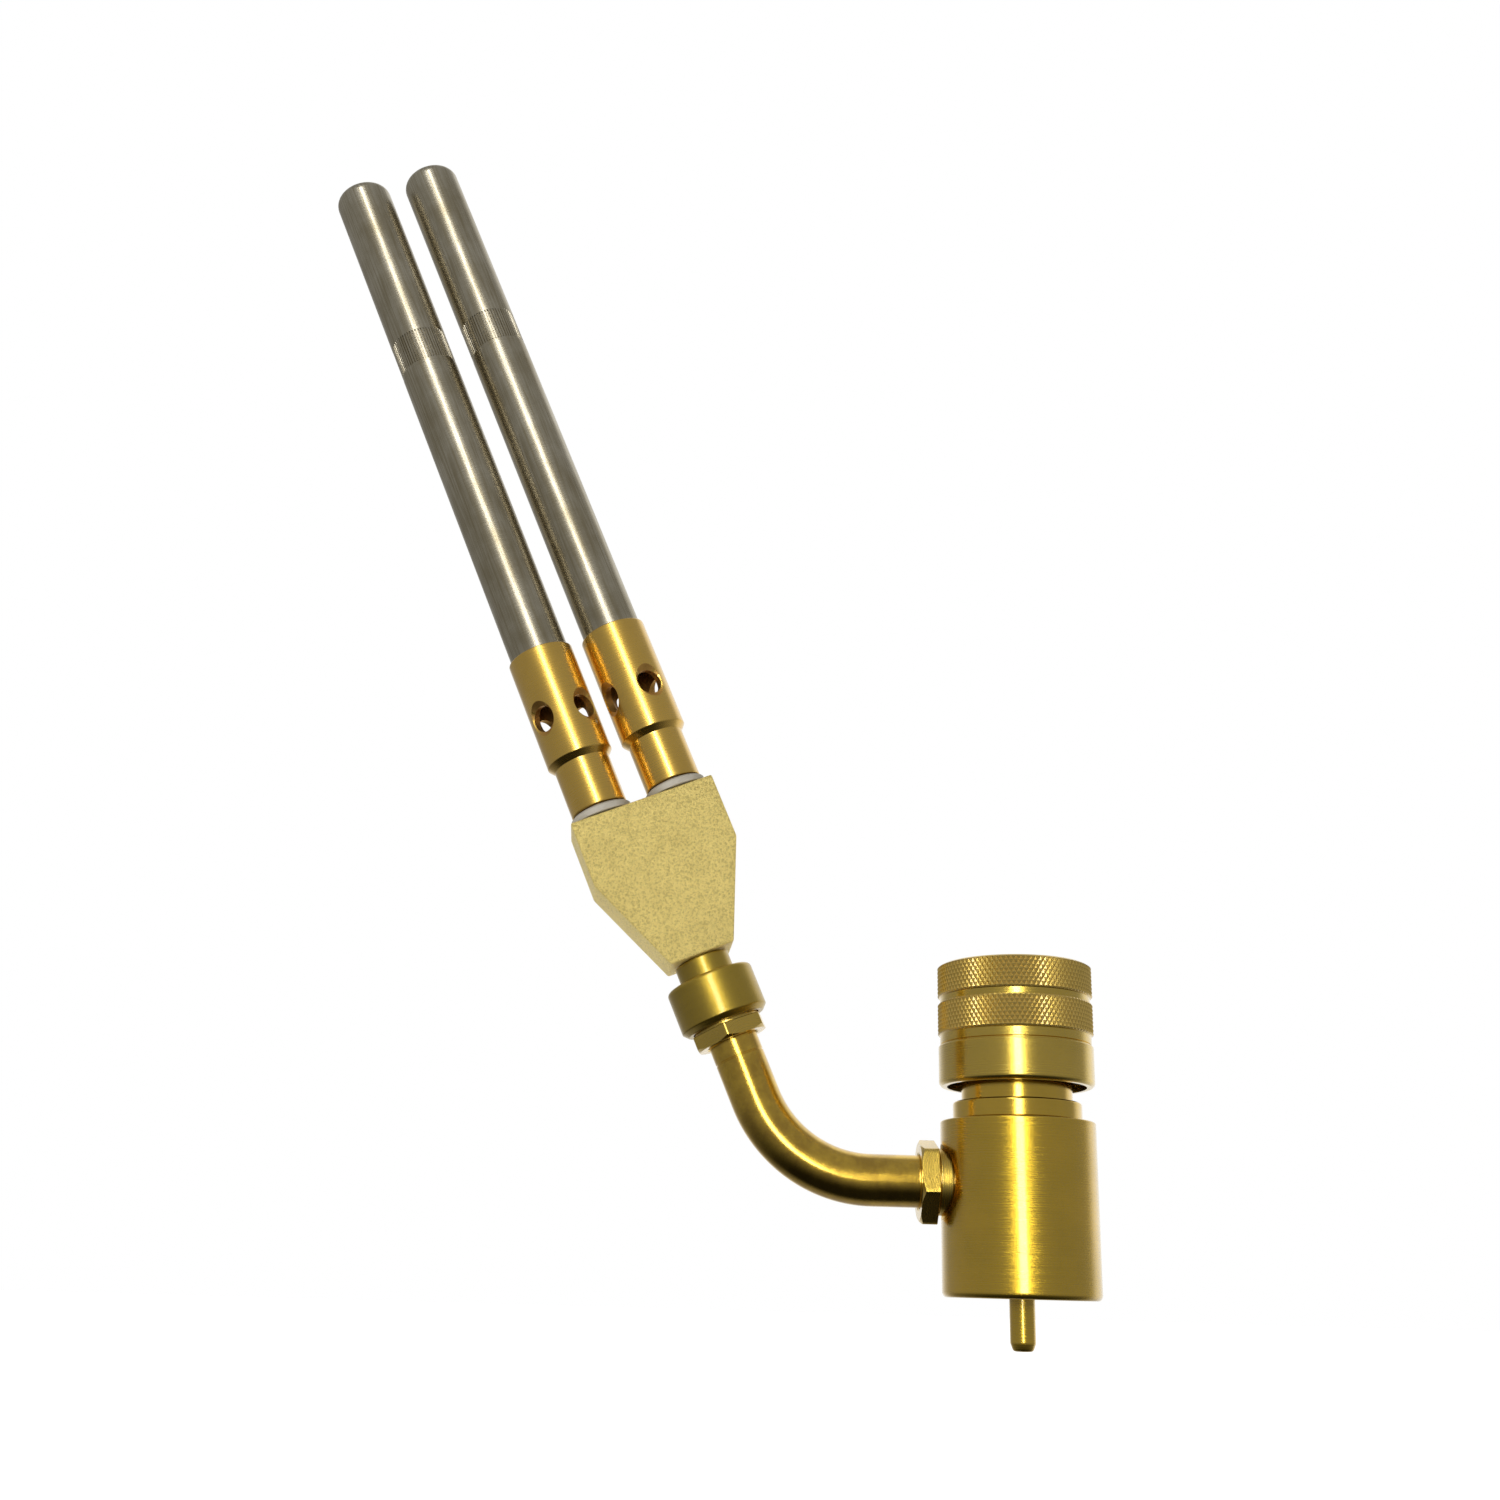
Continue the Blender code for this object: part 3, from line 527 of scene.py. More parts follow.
def flame_steel(name, color, heat, roughness):
    """Flame tube steel: fine rings, drawn streaks along it, straw tint where it gets hot."""
    n = Nodes(name)
    across = n.across_lathe()
    fine = n.noise(3.2, 4.0, 0.7, along=across)
    cloud = n.noise(0.08, 4.0, 0.6)
    stretch = n.vector_math("MULTIPLY", n.place, (1.0, 1.0, 0.03))
    streak = n.noise(1.9, 4.0, 0.7, vector=stretch)
    tone = n.mix(n.spread(cloud, 0.35, 0.68, 0.0, 0.6), color, heat)
    tone = n.mix(n.spread(streak, 0.42, 0.62, 0.0, 0.6), tone, heat)
    rough = n.math("ADD", n.spread(fine, 0.3, 0.7, roughness - 0.03, roughness + 0.05),
                   n.spread(streak, 0.3, 0.7, -0.02, 0.05))
    return n.finish(tone, rough, n.bump(fine, 0.003, under=n.bump(streak, 0.003)))


def moulded(name, color, shade, roughness, metallic=0.0, grain=3.0, depth=0.03):
    """Plain fibre, rubber, plastic or sintered metal with a fine grain."""
    n = Nodes(name)
    fleck = n.noise(grain, 4.0, 0.6)
    cloud = n.noise(0.3, 2.0)
    tone = n.mix(n.spread(fleck, 0.35, 0.7, 0.0, 0.4), color, shade)
    tone = n.mix(n.spread(cloud, 0.35, 0.7, 0.0, 0.3), tone, shade)
    rough = n.spread(fleck, 0.3, 0.7, roughness - 0.05, min(roughness + 0.08, 1.0))
    return n.finish(tone, rough, n.bump(fleck, depth), metallic)


def make_materials():
    return {
        "turned": turned_metal(
            "brass_turned", color=(0.77, 0.49, 0.03), tarnish=(0.46, 0.32, 0.02),
            roughness=0.24, coat=1.0),
        "polished": turned_metal(
            "brass_polished", color=(0.82, 0.53, 0.05), tarnish=(0.52, 0.35, 0.03),
            roughness=0.16, line=0.006),
        "knob": turned_metal(
            "brass_ring", color=(0.78, 0.54, 0.08), tarnish=(0.48, 0.34, 0.05),
            roughness=0.22, line=0.012),
        "knurl": turned_metal(
            "brass_knurled", color=(0.90, 0.62, 0.14), tarnish=(0.56, 0.40, 0.07),
            roughness=0.33, line=0.006),
        "tube": drawn_metal(
            "brass_tube", color=(0.80, 0.52, 0.06), tarnish=(0.46, 0.27, 0.03), roughness=0.17),
        "fitting": turned_metal(
            "brass_fitting", color=(0.78, 0.53, 0.08), tarnish=(0.46, 0.32, 0.05),
            roughness=0.24),
        # satin finish; its darker colour is painted shade under the manifold block, on the sleeve
        # and the nipple
        "satin_painted_shade": turned_metal(
            "brass_satin_painted_shade", color=(0.54, 0.37, 0.045), tarnish=(0.34, 0.24, 0.03),
            roughness=0.36, coat=0.5),
        "burner": turned_metal(
            "brass_burner", color=(0.88, 0.56, 0.10), tarnish=(0.60, 0.38, 0.06),
            roughness=0.28, line=0.006),
        # rough, uncoated drilled surface; its darker, redder colour is painted shade inside the
        # collar
        "bore": turned_metal(
            "brass_bore_painted_shade", color=(0.74, 0.44, 0.12), tarnish=(0.44, 0.25, 0.07),
            roughness=0.48, coat=0.0),
        "cast": cast_metal("brass_cast", color=(1.0, 0.80, 0.27), dark=(0.30, 0.20, 0.04)),
        "steel": flame_steel(
            "steel_flame", color=(0.56, 0.52, 0.42), heat=(0.27, 0.22, 0.12), roughness=0.27),
        "screw": flame_steel(
            "steel_screw", color=(0.55, 0.54, 0.52), heat=(0.40, 0.39, 0.37), roughness=0.25),
        "inner": turned_metal(
            "brass_inner", color=(0.78, 0.52, 0.14), tarnish=(0.50, 0.34, 0.08),
            roughness=0.35),
        "washer": moulded(
            "washer_fibre", color=(0.42, 0.385, 0.32), shade=(0.31, 0.28, 0.22), roughness=0.5),
        "rubber": moulded(
            "seal_rubber", color=(0.018, 0.018, 0.018), shade=(0.04, 0.04, 0.04),
            roughness=0.55),
        "seat": moulded(
            "seat_plastic", color=(0.80, 0.79, 0.74), shade=(0.66, 0.64, 0.58), roughness=0.45),
        "sintered": moulded(
            "sintered_bronze", color=(0.42, 0.28, 0.14), shade=(0.20, 0.13, 0.07),
            roughness=0.7, metallic=1.0, grain=6.0, depth=0.12),
    }


# ---------------------------------------------------------------- valve
def thread_rows(low, high):
    """Rows of the socket's inside thread, from low to high, fading out at both ends."""
    count = round((high - low) / THREAD_PITCH * THREAD_ROWS)
    rows = []
    for step in range(count + 1):
        height = low + (high - low) * step / count
        fade = min(1.0, (height - low) / THREAD_PITCH, (high - height) / THREAD_PITCH)

        def row(angle, height=height, fade=fade):
            phase = (height / THREAD_PITCH - angle / math.tau) % 1.0
            ridge = 1.0 - abs(2.0 * phase - 1.0)
            return SOCKET_R - THREAD_DEPTH * fade * ridge, height
        rows.append(row)
    return rows


def make_barrel(mats, outlet):
    """Barrel: up the outside from its foot, down the bore to the socket and its thread.

    The foot's edge is a short chamfer with both corners rounded.
    """
    before = outline([
        (SOCKET_R + SOCKET_LEAD, 0, 0.15),
        (BODY_R - BODY_CHAMFER * 0.3, 0, BODY_CHAMFER),
        (BODY_R, BODY_CHAMFER * 0.6, BODY_CHAMFER * 0.8),
        (BODY_R, BODY_H, 0.35),
        (BONNET_BORE_R, BODY_H, 0.2),
        (BONNET_BORE_R, BONNET_BORE_Z),
        (CHAMBER_R, BONNET_BORE_Z),
        (CHAMBER_R, SEAT_Z),
        (ORIFICE_R, SEAT_Z),
        (ORIFICE_R, PIN_HOLE_Z),
        (PIN_HOLE_R, PIN_HOLE_Z),
        (PIN_HOLE_R, SOCKET_DEPTH),
        (SOCKET_R, SOCKET_DEPTH),
    ], closed=False)
    thread = thread_rows(SOCKET_LEAD, THREAD_TOP)
    bm = revolve(before + thread[::-1])
    port_end = -BODY_R + CHAMBER_R / 2
    port_r, seat_r = PORT_R
    port = revolve([
        (0, port_end),
        (port_r, port_end),
        (port_r, PORT_FLOOR),
        (seat_r, PORT_FLOOR),
        (seat_r, -SPOTFACE_DEPTH),
        (SPOTFACE_R, -SPOTFACE_DEPTH),
        (SPOTFACE_R, SPOTFACE_REACH),
        (0, SPOTFACE_REACH),
    ], 72, closed=False)
    bmesh.ops.transform(port, matrix=outlet, verts=port.verts)
    piece("barrel", bm, mats["turned"], "valve", ["valve_body"],
          cutters=[port])


def make_bonnet(mats):
    low = BONNET_BORE_Z + GAP
    rows = outline([
        (BONNET_BORE_R - GAP, low),
        (BONNET_BORE_R - GAP, BODY_H + GAP),
        (STEP_R, BODY_H + GAP, 0.12),
        (STEP_R, STEP_TOP, 0.45),
        (NECK_R, STEP_TOP, 0.25),
        (NECK_R, NECK_TOP, 0.5),
        (GLAND_R, NECK_TOP),
        (GLAND_R, GLAND_Z),
        (STEM_R + GAP, GLAND_Z),
        (STEM_R + GAP, BODY_H),
        (CHAMBER_R, BODY_H - CHAMBER_CONE),
        (CHAMBER_R, low),
    ])
    piece("bonnet", revolve(rows), mats["polished"], "valve", ["valve_bonnet"])


def knurl_rows(low, high, columns):
    """Rows of a diamond knurl: ridges and hollows alternate like a chessboard."""
    start, span = low + KNURL_MARGIN, high - low - 2 * KNURL_MARGIN
    rows = []
    for index in range(KNURL_ROWS + 1):
        height = start + span * index / KNURL_ROWS

        def row(angle, index=index, height=height):
            column = round(angle / math.tau * columns)
            raised = (column + index) % 2
            return KNOB_R - (0 if raised else KNURL_DEPTH), height
        rows.append(row)
    return rows


def make_knob(mats):
    """Knob from its hollow out round the ring and the knurls, and back in from the top."""
    rim_r, rim_depth = KNOB_TOP_RECESS
    columns = 2 * KNURL_TEETH
    floor_r = KNOB_R - KNURL_DEPTH
    top = UPPER_KNURL_Z[1]
    rows = outline([
        (KNOB_HOLLOW_R, KNOB_BOTTOM, 0.3),
        (KNOB_RING_R - KNOB_CHAMFER, KNOB_BOTTOM, 0.5),
        (KNOB_RING_R, KNOB_BOTTOM + KNOB_CHAMFER, 0.9),
        (KNOB_RING_R, KNOB_RING_TOP, 0.2),
        (KNOB_GROOVE_R, KNOB_RING_TOP + 0.12),
        (KNOB_GROOVE_R, KNOB_RING_TOP + 0.34),
        (KNOB_BAND_R, KNOB_RING_TOP + 0.5),
        (KNOB_BAND_R, LOWER_KNURL_Z[0] - 0.15),
        (floor_r, LOWER_KNURL_Z[0]),
    ], closed=False)
    knurled = []
    for low, high in (LOWER_KNURL_Z, UPPER_KNURL_Z):
        first = len(rows)
        if first % 2:           # keeps the chessboard in step with the row's index
            rows.append((floor_r, low + 0.05))
            first += 1
        band = knurl_rows(low, high, columns)
        rows += band
        knurled += range(first, first + len(band))
        if high < top:
            rows += [
                (floor_r, high),
                (KNOB_BETWEEN_R, high + 0.1),
                (KNOB_BETWEEN_R, UPPER_KNURL_Z[0] - 0.1),
                (floor_r, UPPER_KNURL_Z[0]),
            ]
    rows += outline([
        (floor_r, top - 0.25),
        (floor_r - 0.25, top, 0.1),
        (rim_r, top, 0.5),
        (rim_r - rim_depth, top - rim_depth, 0.5),
        (KNOB_SCREW_HOLE_R, top - rim_depth, 0.2),
        (KNOB_SCREW_HOLE_R, SCREW_SEAT),
        (SCREW_R + GAP, SCREW_SEAT),
        (SCREW_R + GAP, STEM_TOP + GAP),
        (STEM_R + GAP, STEM_TOP + GAP),
        (STEM_R + GAP, KNOB_HUB_Z, 0.2),
        (KNOB_HUB_R, KNOB_HUB_Z, 0.4),
        (KNOB_HUB_R, KNOB_WEB_Z, 0.8),
        (KNOB_HOLLOW_R, KNOB_WEB_Z, 0.8),
        (KNOB_HOLLOW_R, KNOB_BOTTOM + 2),
    ], closed=False)
    bm = revolve(rows, columns, knurled=set(knurled))
    knob = piece("knob", bm, mats["knob"], "knob", ["control_knob"])
    dress_faces(knob, mats["knurl"], lambda radius, height: (
        radius > floor_r - 0.05 and LOWER_KNURL_Z[0] < height < top))

    head_r, head_height = SCREW_HEAD
    head_low = SCREW_SEAT + GAP
    head_high = head_low + head_height
    socket_r, socket_depth = SCREW_SOCKET
    screw = revolve(outline([
        (0, SCREW_LOW),
        (SCREW_R, SCREW_LOW, 0.3),
        (SCREW_R, head_low),
        (head_r, head_low, 0.1),
        (head_r, head_high, 0.9),
        (0, head_high),
    ], closed=False), 64, closed=False)
    socket = rod(socket_r, head_high - socket_depth, head_high + OVERCUT, 6)
    piece("knob_cap_screw", screw, mats["screw"], "knob", ["knob_screw"],
          cutters=[socket])


def make_inlet(mats):
    flange_r, flange_low = PIN_FLANGE
    flange_top = SOCKET_DEPTH - GAP
    rows = outline([
        (PIN_BORE_R, PIN_TIP_Z, 0.2),
        (PIN_R - 0.55, PIN_TIP_Z, 0.7),
        (PIN_R, PIN_TIP_Z + 1.5, 1.2),
        (PIN_R, flange_low, 0.3),
        (flange_r, flange_low, 0.2),
        (flange_r, flange_top),
        (PIN_HOLE_R - GAP, flange_top),
        (PIN_HOLE_R - GAP, PIN_TOP),
        (PIN_BORE_R, PIN_TOP),
    ])
    piece("probe", revolve(rows, 64), mats["turned"], "valve", ["inlet_pin"])
    seal_r, seal_z, wire_r = INLET_SEAL
    ring = arc((seal_r, seal_z), wire_r, 0, 345, 23)
    piece("probe_seal", revolve(ring, 96), mats["rubber"], "valve", ["inlet_seal"])


# ---------------------------------------------------------------- outlet and bent tube
def hex_rows(across_flats, turn, face_z, back_z, face_out):
    """Outside rows of a hexagon nut, with a turned chamfer on one face."""
    depth, height = HEX_CHAMFER
    corner_r = across_flats / 2 / math.cos(math.pi / 6)
    chamfer_r = corner_r - depth
    direction = 1 if face_out else -1

    def flat(angle):
        local = (angle - math.radians(turn)) % (math.pi / 3) - math.pi / 6
        return min(across_flats / 2 / math.cos(local), corner_r - HEX_EDGE)

    def edge(angle):
        over = max(0.0, flat(angle) - chamfer_r) / depth
        return flat(angle), face_z - direction * height * over

    def rim(angle):
        return min(flat(angle) - HEX_RIM, chamfer_r), face_z

    def back_edge(angle):
        return flat(angle), back_z + direction * HEX_EDGE

    def back_rim(angle):
        return flat(angle) - HEX_EDGE, back_z
    return [rim, edge, back_edge, back_rim]


def make_outlet(mats, outlet):
    nut_low, nut_high = OUTLET_NUT_Z
    tail_r, tail_low = SPIGOT_TAIL
    nose_end = nut_high - NUT_LIP
    spigot = outline([
        (tail_r, tail_low),
        (tail_r, GAP - SPOTFACE_DEPTH),
        (SPIGOT_R, GAP - SPOTFACE_DEPTH, 0.1),
        (SPIGOT_R, nut_low - GAP, 0.2),
        (SPIGOT_THREAD_R, nut_low - GAP),
        (SPIGOT_THREAD_R, nose_end),
        (TUBE_R + GAP, nose_end),
        (TUBE_R + GAP, 0),
        (SPIGOT_BORE_R, 0),
        (SPIGOT_BORE_R, tail_low),
    ])
    piece("spigot", revolve(spigot, 96), mats["fitting"], "valve", ["outlet_spigot"],
          place=outlet)
    rim, edge, back_edge, back_rim = hex_rows(OUTLET_NUT_AF, OUTLET_NUT_TURN, nut_high, nut_low,
                                              True)
    nut = [
        (NUT_BORE_R, nut_low),
        back_rim,
        back_edge,
        edge,
        rim,
        (TUBE_R + GAP + 0.35, nut_high),
        (TUBE_R + GAP, nut_high - 0.3),
        (TUBE_R + GAP, nose_end + GAP),
        (NUT_BORE_R, nose_end + GAP),
    ]
    piece("tube_nut", revolve(nut, NUT_SIDES, turn=math.radians(OUTLET_NUT_TURN)),
          mats["fitting"], "valve", ["outlet_nut"], place=outlet)


def head_matrix(twist):
    """Frame at the swivel's datum, from the head joint: Z along its axis, Y to the back."""
    joint = next(j for j in frame["joints"] if j["name"] == "head_swivel")
    axis = Vector(joint["axis"])
    lean = math.atan2(-axis.x, axis.z)
    matrix = Matrix.Rotation(-lean, 4, "Y") @ Matrix.Rotation(math.radians(twist), 4, "Z")
    matrix.translation = Vector(joint["pos_m"]) / MM
    return matrix, lean


def tube_rows(lean):
    """(centre, heading, outer radius) along the bent tube."""
    bend = math.pi / 2 - lean
    start = Vector((-BODY_R - BEND_START, 0, OUTLET_Z))
    rows = [(Vector((-BODY_R - TUBE_START, 0, OUTLET_Z)), Vector((-1, 0, 0)), TUBE_R)]
    for step in range(BEND_STEPS + 1):
        angle = bend * step / BEND_STEPS
        offset = Vector((-math.sin(angle), 0, 1 - math.cos(angle))) * BEND_R
        rows.append((start + offset, Vector((-math.cos(angle), 0, math.sin(angle))), TUBE_R))
    last, heading, _ = rows[-1]
    ring_at = AFTER_BEND - TUBE_RING_AT
    # the fine ring's four rows: millimetres along the tube, and whether the row is sunk
    for along, sunk in ((-0.2, 0), (-0.1, 1), (0.1, 1), (0.2, 0)):
        rows.append((last + heading * (ring_at + along), heading, TUBE_R - sunk * TUBE_RING_DEPTH))
    rows.append((last + heading * (AFTER_BEND + TUBE_END), heading, TUBE_R))
    return rows


def make_bent_tube(mats, lean):
    bm = bmesh.new()
    side = Vector((0, 1, 0))

    def ring(center, heading, radius):
        out = heading.cross(side)
        angles = [math.tau * step / TUBE_SIDES for step in range(TUBE_SIDES)]
        return [bm.verts.new(center + radius * (math.cos(a) * out + math.sin(a) * side))
                for a in angles]

    rows = tube_rows(lean)
    outer = [ring(center, heading, radius) for center, heading, radius in rows]
    inner = [ring(center, heading, TUBE_BORE_R) for center, heading, _ in rows]
    for low, high in [*zip(outer, outer[1:]), *zip(inner, inner[1:]), (outer[0], inner[0]),
                      (outer[-1], inner[-1])]:
        for step in range(TUBE_SIDES):
            after = (step + 1) % TUBE_SIDES
            bm.faces.new((low[step], low[after], high[after], high[step]))
    piece("gas_tube", bm, mats["tube"], "valve", ["bent_tube"])


# ---------------------------------------------------------------- swivel and manifold
def make_swivel(mats, head):
    nut_low, nut_high = SWIVEL_NUT_Z
    spigot_r = SLEEVE_BORE_R - GAP
    rim, edge, back_edge, back_rim = hex_rows(SWIVEL_NUT_AF, SWIVEL_NUT_TURN, nut_low, nut_high,
                                              False)
    nut = [
        (TUBE_R + GAP, nut_low + 0.3),
        (TUBE_R + GAP + 0.3, nut_low),
        rim,
        edge,
        back_edge,
        back_rim,
        (spigot_r, nut_high),
        (spigot_r, FLANGE_LOW - GAP),
        (TUBE_R + GAP, FLANGE_LOW - GAP),
    ]
    piece("gland_nut", revolve(nut, NUT_SIDES, turn=math.radians(SWIVEL_NUT_TURN)),
          mats["fitting"], "head", ["swivel_nut"], place=head)
    low, high = SLEEVE_Z
    sleeve = outline([
        (SLEEVE_BORE_R, low, 0.15),
        (SLEEVE_R - SLEEVE_CHAMFER, low, 0.3),
        (SLEEVE_R, low + SLEEVE_CHAMFER, 0.4),
        (SLEEVE_R, high, 0.8),
        (NIPPLE_TAIL_R + GAP, high),
        (NIPPLE_TAIL_R + GAP, SLEEVE_FLOOR),
        (SLEEVE_BORE_R, SLEEVE_FLOOR),
    ])
    # darker satin brass: painted shade under the manifold block
    piece("sleeve", revolve(sleeve), mats["satin_painted_shade"], "head", ["swivel_sleeve"],
          place=head)
    nipple = outline([
        (NIPPLE_BORE_R, SLEEVE_FLOOR + GAP),
        (NIPPLE_TAIL_R, SLEEVE_FLOOR + GAP),
        (NIPPLE_TAIL_R, high + GAP),
        (NIPPLE_R, high + GAP, 0.2),
        (NIPPLE_R, BLOCK_Z - GAP, 0.3),
        (NIPPLE_TAIL_R, BLOCK_Z - GAP),
        (NIPPLE_TAIL_R, BLOCK_Z + NIPPLE_TAIL),
        (NIPPLE_BORE_R, BLOCK_Z + NIPPLE_TAIL),
    ])
    # darker satin brass: painted shade under the manifold block
    piece("nipple", revolve(nipple, 96), mats["satin_painted_shade"], "head", ["head_nipple"],
          place=head)


def make_block(mats, head):
    """Manifold: a tapered plate with bevelled edges and its gas passages cut in."""
    half, foot = BLOCK_W / 2, BLOCK_FOOT_W / 2
    shoulder = BLOCK_H - BLOCK_SIDE
    shape = [(-foot, 0), (foot, 0), (half, shoulder), (half, BLOCK_H), (-half, BLOCK_H),
             (-half, shoulder)]
    bm = bmesh.new()
    face = bm.faces.new([bm.verts.new((x, -BLOCK_T / 2, z)) for x, z in shape])
    result = bmesh.ops.extrude_face_region(bm, geom=[face])
    moved = [item for item in result["geom"] if isinstance(item, bmesh.types.BMVert)]
    bmesh.ops.translate(bm, vec=(0, BLOCK_T, 0), verts=moved)
    bmesh.ops.recalc_face_normals(bm, faces=bm.faces)
    bmesh.ops.bevel(bm, geom=bm.edges[:], offset=BLOCK_EDGE, segments=4, profile=0.5,
                    affect="EDGES")
    cutters = [rod(NIPPLE_TAIL_R + GAP, -OVERCUT, NIPPLE_TAIL + GAP),
               rod(NIPPLE_BORE_R, NIPPLE_TAIL, PASSAGE_Z)]
    for sign in (-1, 1):
        port = rod(COLLAR_TAIL[0] + GAP, PASSAGE_Z - PORT_OVERLAP, BLOCK_H + OVERCUT)
        bmesh.ops.translate(port, vec=(sign * BURNER_X, 0, 0), verts=port.verts)
        cutters.append(port)
    across = rod(PASSAGE_R, -BURNER_X, BURNER_X, 24)
    turn = Matrix.Translation((0, 0, PASSAGE_Z)) @ Matrix.Rotation(math.pi / 2, 4, "Y")
    bmesh.ops.transform(across, matrix=turn, verts=across.verts)
    cutters.append(across)
    place = head @ Matrix.Translation((0, 0, BLOCK_Z))
    piece("manifold", bm, mats["cast"], "head", ["manifold_block"], place=place,
          cutters=cutters)


# ---------------------------------------------------------------- burners
def air_tools(side):
    """Drills through the collar, and a wide countersink at each mouth."""
    tools = []
    reach = COLLAR_R + OVERCUT
    sink_low = COLLAR_R - AIR_SINK_DEPTH
    sink_r = AIR_HOLE_R + AIR_SINK_SLOPE * (reach - sink_low)
    for angle in AIR_HOLE_ANGLES:
        heading = math.radians(angle + AIR_HOLE_TURN[side])
        spin = Matrix.Rotation(heading, 4, "Z")
        across = spin @ Matrix.Rotation(math.pi / 2, 4, "Y")
        drill = rod(AIR_HOLE_R, -reach, reach, 40)
        bmesh.ops.transform(drill, matrix=Matrix.Translation((0, 0, AIR_HOLE_Z)) @ across,
                            verts=drill.verts)
        tools.append(drill)
        for sign in (-1, 1):
            sink = revolve([(0, sink_low), (AIR_HOLE_R * AIR_SINK_FOOT, sink_low), (sink_r, reach),
                            (0, reach)], 48, closed=False)
            flip = Matrix.Rotation(math.pi / 2 * sign, 4, "Y")
            lift = Matrix.Translation((0, 0, AIR_HOLE_Z + AIR_SINK_RISE))
            bmesh.ops.transform(sink, matrix=lift @ spin @ flip, verts=sink.verts)
            tools.append(sink)
    return tools


def make_collar(mats, side, place):
    tail_r, tail_low = COLLAR_TAIL
    collar_low, collar_high = COLLAR_Z
    neck_low = GAP + WASHER_T
    nose_r, nose_low = NOSE_BORE
    cone_low, cone_high = MIXER_CONE_Z
    washer = outline([
        (tail_r + GAP, GAP),
        (WASHER_R, GAP, 0.25),
        (WASHER_R, neck_low - 0.7, 0.3),
        (BURNER_NECK_R, neck_low - GAP, 0.2),
        (tail_r + GAP, neck_low - GAP),
    ])
    piece("washer_" + side, revolve(washer, 96), mats["washer"], "head",
          ["sealing_washer_" + side], place=place)
    span, steps = AIR_ROWS
    hole_rows = [(COLLAR_R, AIR_HOLE_Z + span * (2 * step / steps - 1))
                 for step in range(steps + 1)]
    rows = outline([
        (JET_BORE_R, tail_low),
        (tail_r, tail_low),
        (tail_r, neck_low),
        (BURNER_NECK_R, neck_low, 0.25),
        (BURNER_NECK_R, collar_low - COLLAR_TAPER, 0.15),
        (COLLAR_R, collar_low, 0.35),
        *hole_rows,
        (COLLAR_R, collar_high, COLLAR_TOP_EDGE),
        (TUBE_SEAT_R, collar_high, 0.08),
        (TUBE_SEAT_R, TUBE_SEAT_Z),
        (MIXER_R, TUBE_SEAT_Z),
        (MIXER_R, cone_high),
        (nose_r, cone_low),
        (nose_r, nose_low),
        (JET_BORE_R, nose_low),
    ])
    collar = piece("burner_" + side, revolve(rows, BURNER_SIDES), mats["burner"], "head",
                   ["burner_collar_" + side], place=place,
                   cutters=air_tools(side))
    # the inside and the deeper part of each countersink take the bore brass, whose darker colour is
    # painted shade
    dress_faces(collar, mats["bore"], lambda radius, height: (
        radius < COLLAR_R - AIR_SINK_DEPTH / 4 and collar_low < height < collar_high - COLLAR_LIP))


def make_flame_tube(mats, side, place):
    wall = FLAME_TUBE_R - FLAME_BORE_R
    low, high = BAND_Z
    columns = BAND_COLUMNS * BAND_GROOVES
    band_r = FLAME_TUBE_R - BAND_RECESS

    def grooved(height):
        def row(angle):
            phase = round(angle / math.tau * columns) % BAND_COLUMNS
            sunk = phase >= BAND_COLUMNS - BAND_SUNK
            return band_r - BAND_DEPTH * sunk, height
        return row

    center = (FLAME_TUBE_R - MOUTH_ROUND, FLAME_TIP - MOUTH_ROUND)
    slope, support = BAND_STEPS
    outer_steps, inner_steps = MOUTH_STEPS
    rows = [
        (FLAME_BORE_R, TUBE_SEAT_Z + GAP),
        (FLAME_TUBE_R, TUBE_SEAT_Z + GAP),
        (FLAME_TUBE_R, low - support),
        (FLAME_TUBE_R, low - slope),
        (band_r, low),
        grooved(low + BAND_END),
        grooved(high - BAND_END),
        (band_r, high),
        (FLAME_TUBE_R, high + slope),
        (FLAME_TUBE_R, high + support),
        (FLAME_TUBE_R, center[1] - MOUTH_SUPPORT),
        *arc(center, MOUTH_ROUND, 0, MOUTH_TURN, outer_steps),
        *arc(center, MOUTH_ROUND - wall, MOUTH_TURN, 0, inner_steps),
    ]
    piece("flame_pipe_" + side, revolve(rows, columns), mats["steel"], "head",
          ["flame_tube_" + side], place=place)

    disc = revolve(outline([
        (HOLDER_BORE_R, low, 0.2),
        (HOLDER_R, low, 0.4),
        (HOLDER_R, high, 0.5),
        (HOLDER_BORE_R, high, 0.3),
    ]), 72)
    drills = []
    for index in range(HOLDER_HOLES):
        drill = rod(HOLDER_HOLE_R, low - OVERCUT, high + OVERCUT, 24)
        turn = Matrix.Rotation(math.tau * index / HOLDER_HOLES, 4, "Z")
        bmesh.ops.transform(drill, matrix=turn @ Matrix.Translation((HOLDER_PITCH_R, 0, 0)),
                            verts=drill.verts)
        drills.append(drill)
    piece("swirl_disc_" + side, disc, mats["steel"], "head", ["flame_holder_" + side],
          place=place, cutters=drills)


# ---------------------------------------------------------------- nodes that stay
def dress_inner_nodes(mats):
    kept = {
        "valve_plunger": "inner", "seat_disc": "seat", "valve_stem": "inner",
        "stem_seal": "rubber", "inlet_filter": "sintered", "swivel_flange": "inner",
        "swivel_seal": "rubber", "gas_jet_left": "inner", "gas_jet_right": "inner",
        "jet_filter_left": "sintered", "jet_filter_right": "sintered",
    }
    for node, look in kept.items():
        for slot in frame["nodes"][node].material_slots:
            slot.material = mats[look]


